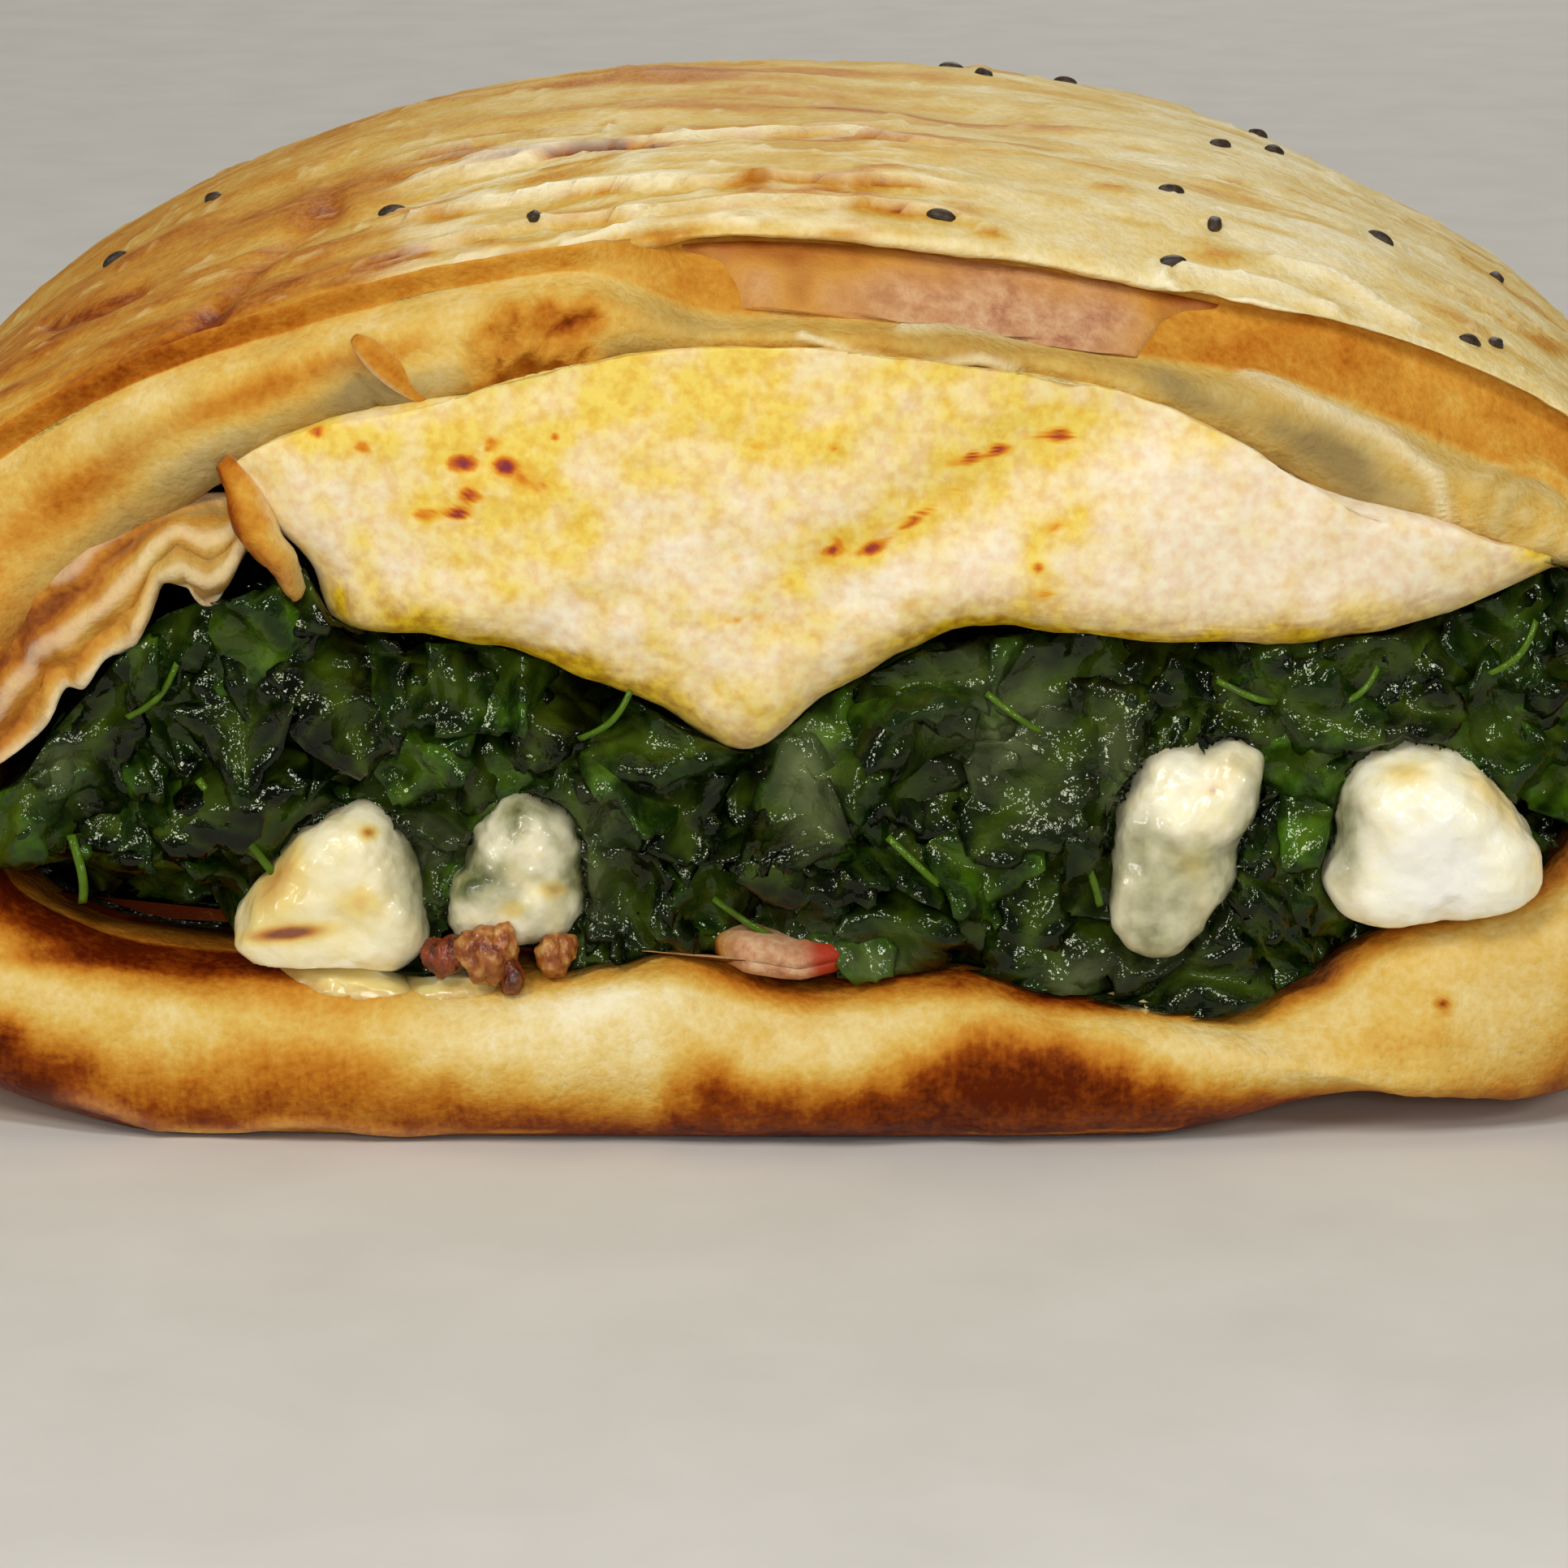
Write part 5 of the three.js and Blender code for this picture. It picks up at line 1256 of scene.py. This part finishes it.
for i in range(LEAVES):
    tilt, roll_by, spin = random.uniform(-0.75, 0.25), random.uniform(-0.5, 0.5), random.uniform(0, TAU)
    lie = Quaternion((1, 0, 0), np.pi / 2 + tilt) @ Quaternion((0, 1, 0), roll_by)
    lie = lie @ Quaternion((0, 0, 1), spin)
    rings = sheet_rings(leaf[i], LEAF_THICK) @ np.array(lie.to_matrix()).T
    rings += [leaf_x[i], 0, leaf_z[i]]
    rings[..., 2] = np.minimum(rings[..., 2], np.maximum(ceiling(rings[..., 0]) - 0.3, 14))
    rings[..., 1] = bed_back(rings[..., 0], rings[..., 2]) - leaf_lift[i] + 0.8 * rings[..., 1] - LENGTH / 2
    rings[..., 1] = np.maximum(rings[..., 1], LEAST_BACK + CUT_BOW * (rings[..., 0] / 60) ** 2 - LENGTH / 2)
    rings = keep_inside(behind_lumps(rings), 0.2)
    tone = np.full((1, 1), random.uniform(0.0, 0.82))
    leaf_skins.append(skin(rings, tone=tone, vein=both_sides(vein_mark[i]), milky=milky_at(rings)))
spinach_finish = wilted_spinach()
# The core is painted nearly black, as shade in the gaps between the leaves
core_shade_tone = clamp(0.3 * cloud(core, 3, 94))
core_skin = skin(behind_lumps(core), tone=core_shade_tone, vein=0 * core_shade_tone, milky=milky_at(core))
make_piece("spinach_heap", [core_skin], spinach_finish, "spinach", "spinach")

# Stems: short round ones, some where the picture shows them. A place of the picture is this high there
STEM_LEVEL, STEM_RISE = 22.4, 1.035
plain = np.ones((1, 1))
STEMS = [  # a place of the picture at each end, and the radius
    ((-36.3, 0.3), (-31.6, -5.6), 0.28), ((-44.4, -3.4), (-43.8, -7.6), 0.3),
    ((-29.8, 6.4), (-26.2, 2.2), 0.25), ((-12.6, 3.2), (-9.4, 6.2), 0.22),
    ((6.4, -2.8), (10.6, -6.8), 0.25), ((17.4, -2), (19.6, -7.2), 0.25), ((33.4, 4.8), (36.6, 7.2), 0.22),
    ((-4.4, -6.6), (-0.6, -9), 0.22), ((12.4, 6), (15.8, 3.6), 0.22), ((43.6, 6.6), (46.4, 9.8), 0.22),
    ((-40.6, 4), (-37.4, 7.4), 0.22), ((26.6, 6.6), (30.4, 5.2), 0.22),
]
for (u0, v0), (u1, v1), radius in STEMS:
    way = np.linspace(0, 1, 16)[:, None]
    bend = np.sin(np.pi * way)
    across, height = mix(u0, u1, way), STEM_LEVEL + STEM_RISE * mix(v0, v1, way)
    stem_back = 4.0 + CUT_BOW * (across / 60) ** 2 - 0.5 * bend
    line = np.stack([across + 0.4 * bend, stem_back - LENGTH / 2, height - 0.3 * bend], -1)
    circle = (np.arange(10) / 10) * TAU
    lean = np.array([v1 - v0, 0, u0 - u1]) / np.hypot(u1 - u0, v1 - v0)
    ring = lean * np.cos(circle)[:, None] + np.array([0, 1, 0]) * np.sin(circle)[:, None]
    leaf_skins.append(skin(line + ring * radius, tone=plain, vein=plain, milky=0 * plain))
make_piece("spinach_leaves", leaf_skins, spinach_finish, "spinach", "spinach")

# ---------------------------------------------------------------------------------------------------
# Floor, lamps and world: a plain pale studio. Six small lamps in front, the key at the upper left the
# strongest, so that each puts its own sparks on the wet food; a broad one above, and one behind that
# lights the crust's edge.
floor_mesh = bpy.data.meshes.new("floor")
FLOOR_HALF = 3  # metres
FLOOR_GRAIN = 90.0  # lumps in a metre
floor_corners = [(sx * FLOOR_HALF, sy * FLOOR_HALF, 0) for sx, sy in ((-1, -1), (1, -1), (1, 1), (-1, 1))]
floor_mesh.from_pydata(floor_corners, [], [(0, 1, 2, 3)])
floor = bpy.data.objects.new("floor", floor_mesh)
scene.collection.objects.link(floor)
floor_finish, floor_tree, floor_shader, floor_place = new_finish("pale matt card", Roughness=0.9)
fibres = add_node(floor_tree, "TexNoise", {"Vector": floor_place, "Scale": FLOOR_GRAIN, "Detail": 4.0})
floor_tone = add_node(floor_tree, "ValToRGB", {"Fac": fibres}, stops=[(0.3, "#d6d3cc"), (0.7, "#dddad4")])
drive(floor_tree, floor_shader, Base_Color=floor_tone)
floor_mesh.materials.append(floor_finish)

LAMPS = [  # place in metres, size in metres, watts, colour
    ("key", (-0.28, -0.48, 0.44), 0.13, 1.2, "#fffaf0"),
    ("fill", (0.38, -0.46, 0.32), 0.08, 0.55, "#fffefa"),
    ("front", (0.04, -0.62, 0.2), 0.08, 0.5, "#ffffff"),
    ("high", (-0.06, -0.4, 0.52), 0.08, 0.5, "#ffffff"),
    ("side", (-0.44, -0.42, 0.2), 0.07, 0.35, "#ffffff"),
    ("upper right", (0.2, -0.46, 0.5), 0.07, 0.4, "#ffffff"),
    ("top", (0.0, 0.02, 0.7), 0.5, 0.4, "#fffdf8"),
    ("rim", (0.15, 0.8, 0.6), 0.5, 2.5, "#fffdf8"),
]
for name, place, size, watts, tint in LAMPS:
    lamp = bpy.data.objects.new(name, bpy.data.lights.new(name, "AREA"))
    lamp.data.size, lamp.data.energy, lamp.data.color = size, watts, colour(tint)[:3]
    lamp.location = place
    lamp.rotation_euler = (Vector(AIM * MM) - Vector(place)).to_track_quat("-Z", "Y").to_euler()
    scene.collection.objects.link(lamp)

scene.world = bpy.data.worlds.new("pale room")
scene.world.use_nodes = True
walls = scene.world.node_tree.nodes["Background"]
walls.inputs["Color"].default_value = colour("#f6f4ef")
walls.inputs["Strength"].default_value = 0.17
scene.view_settings.view_transform = "Standard"
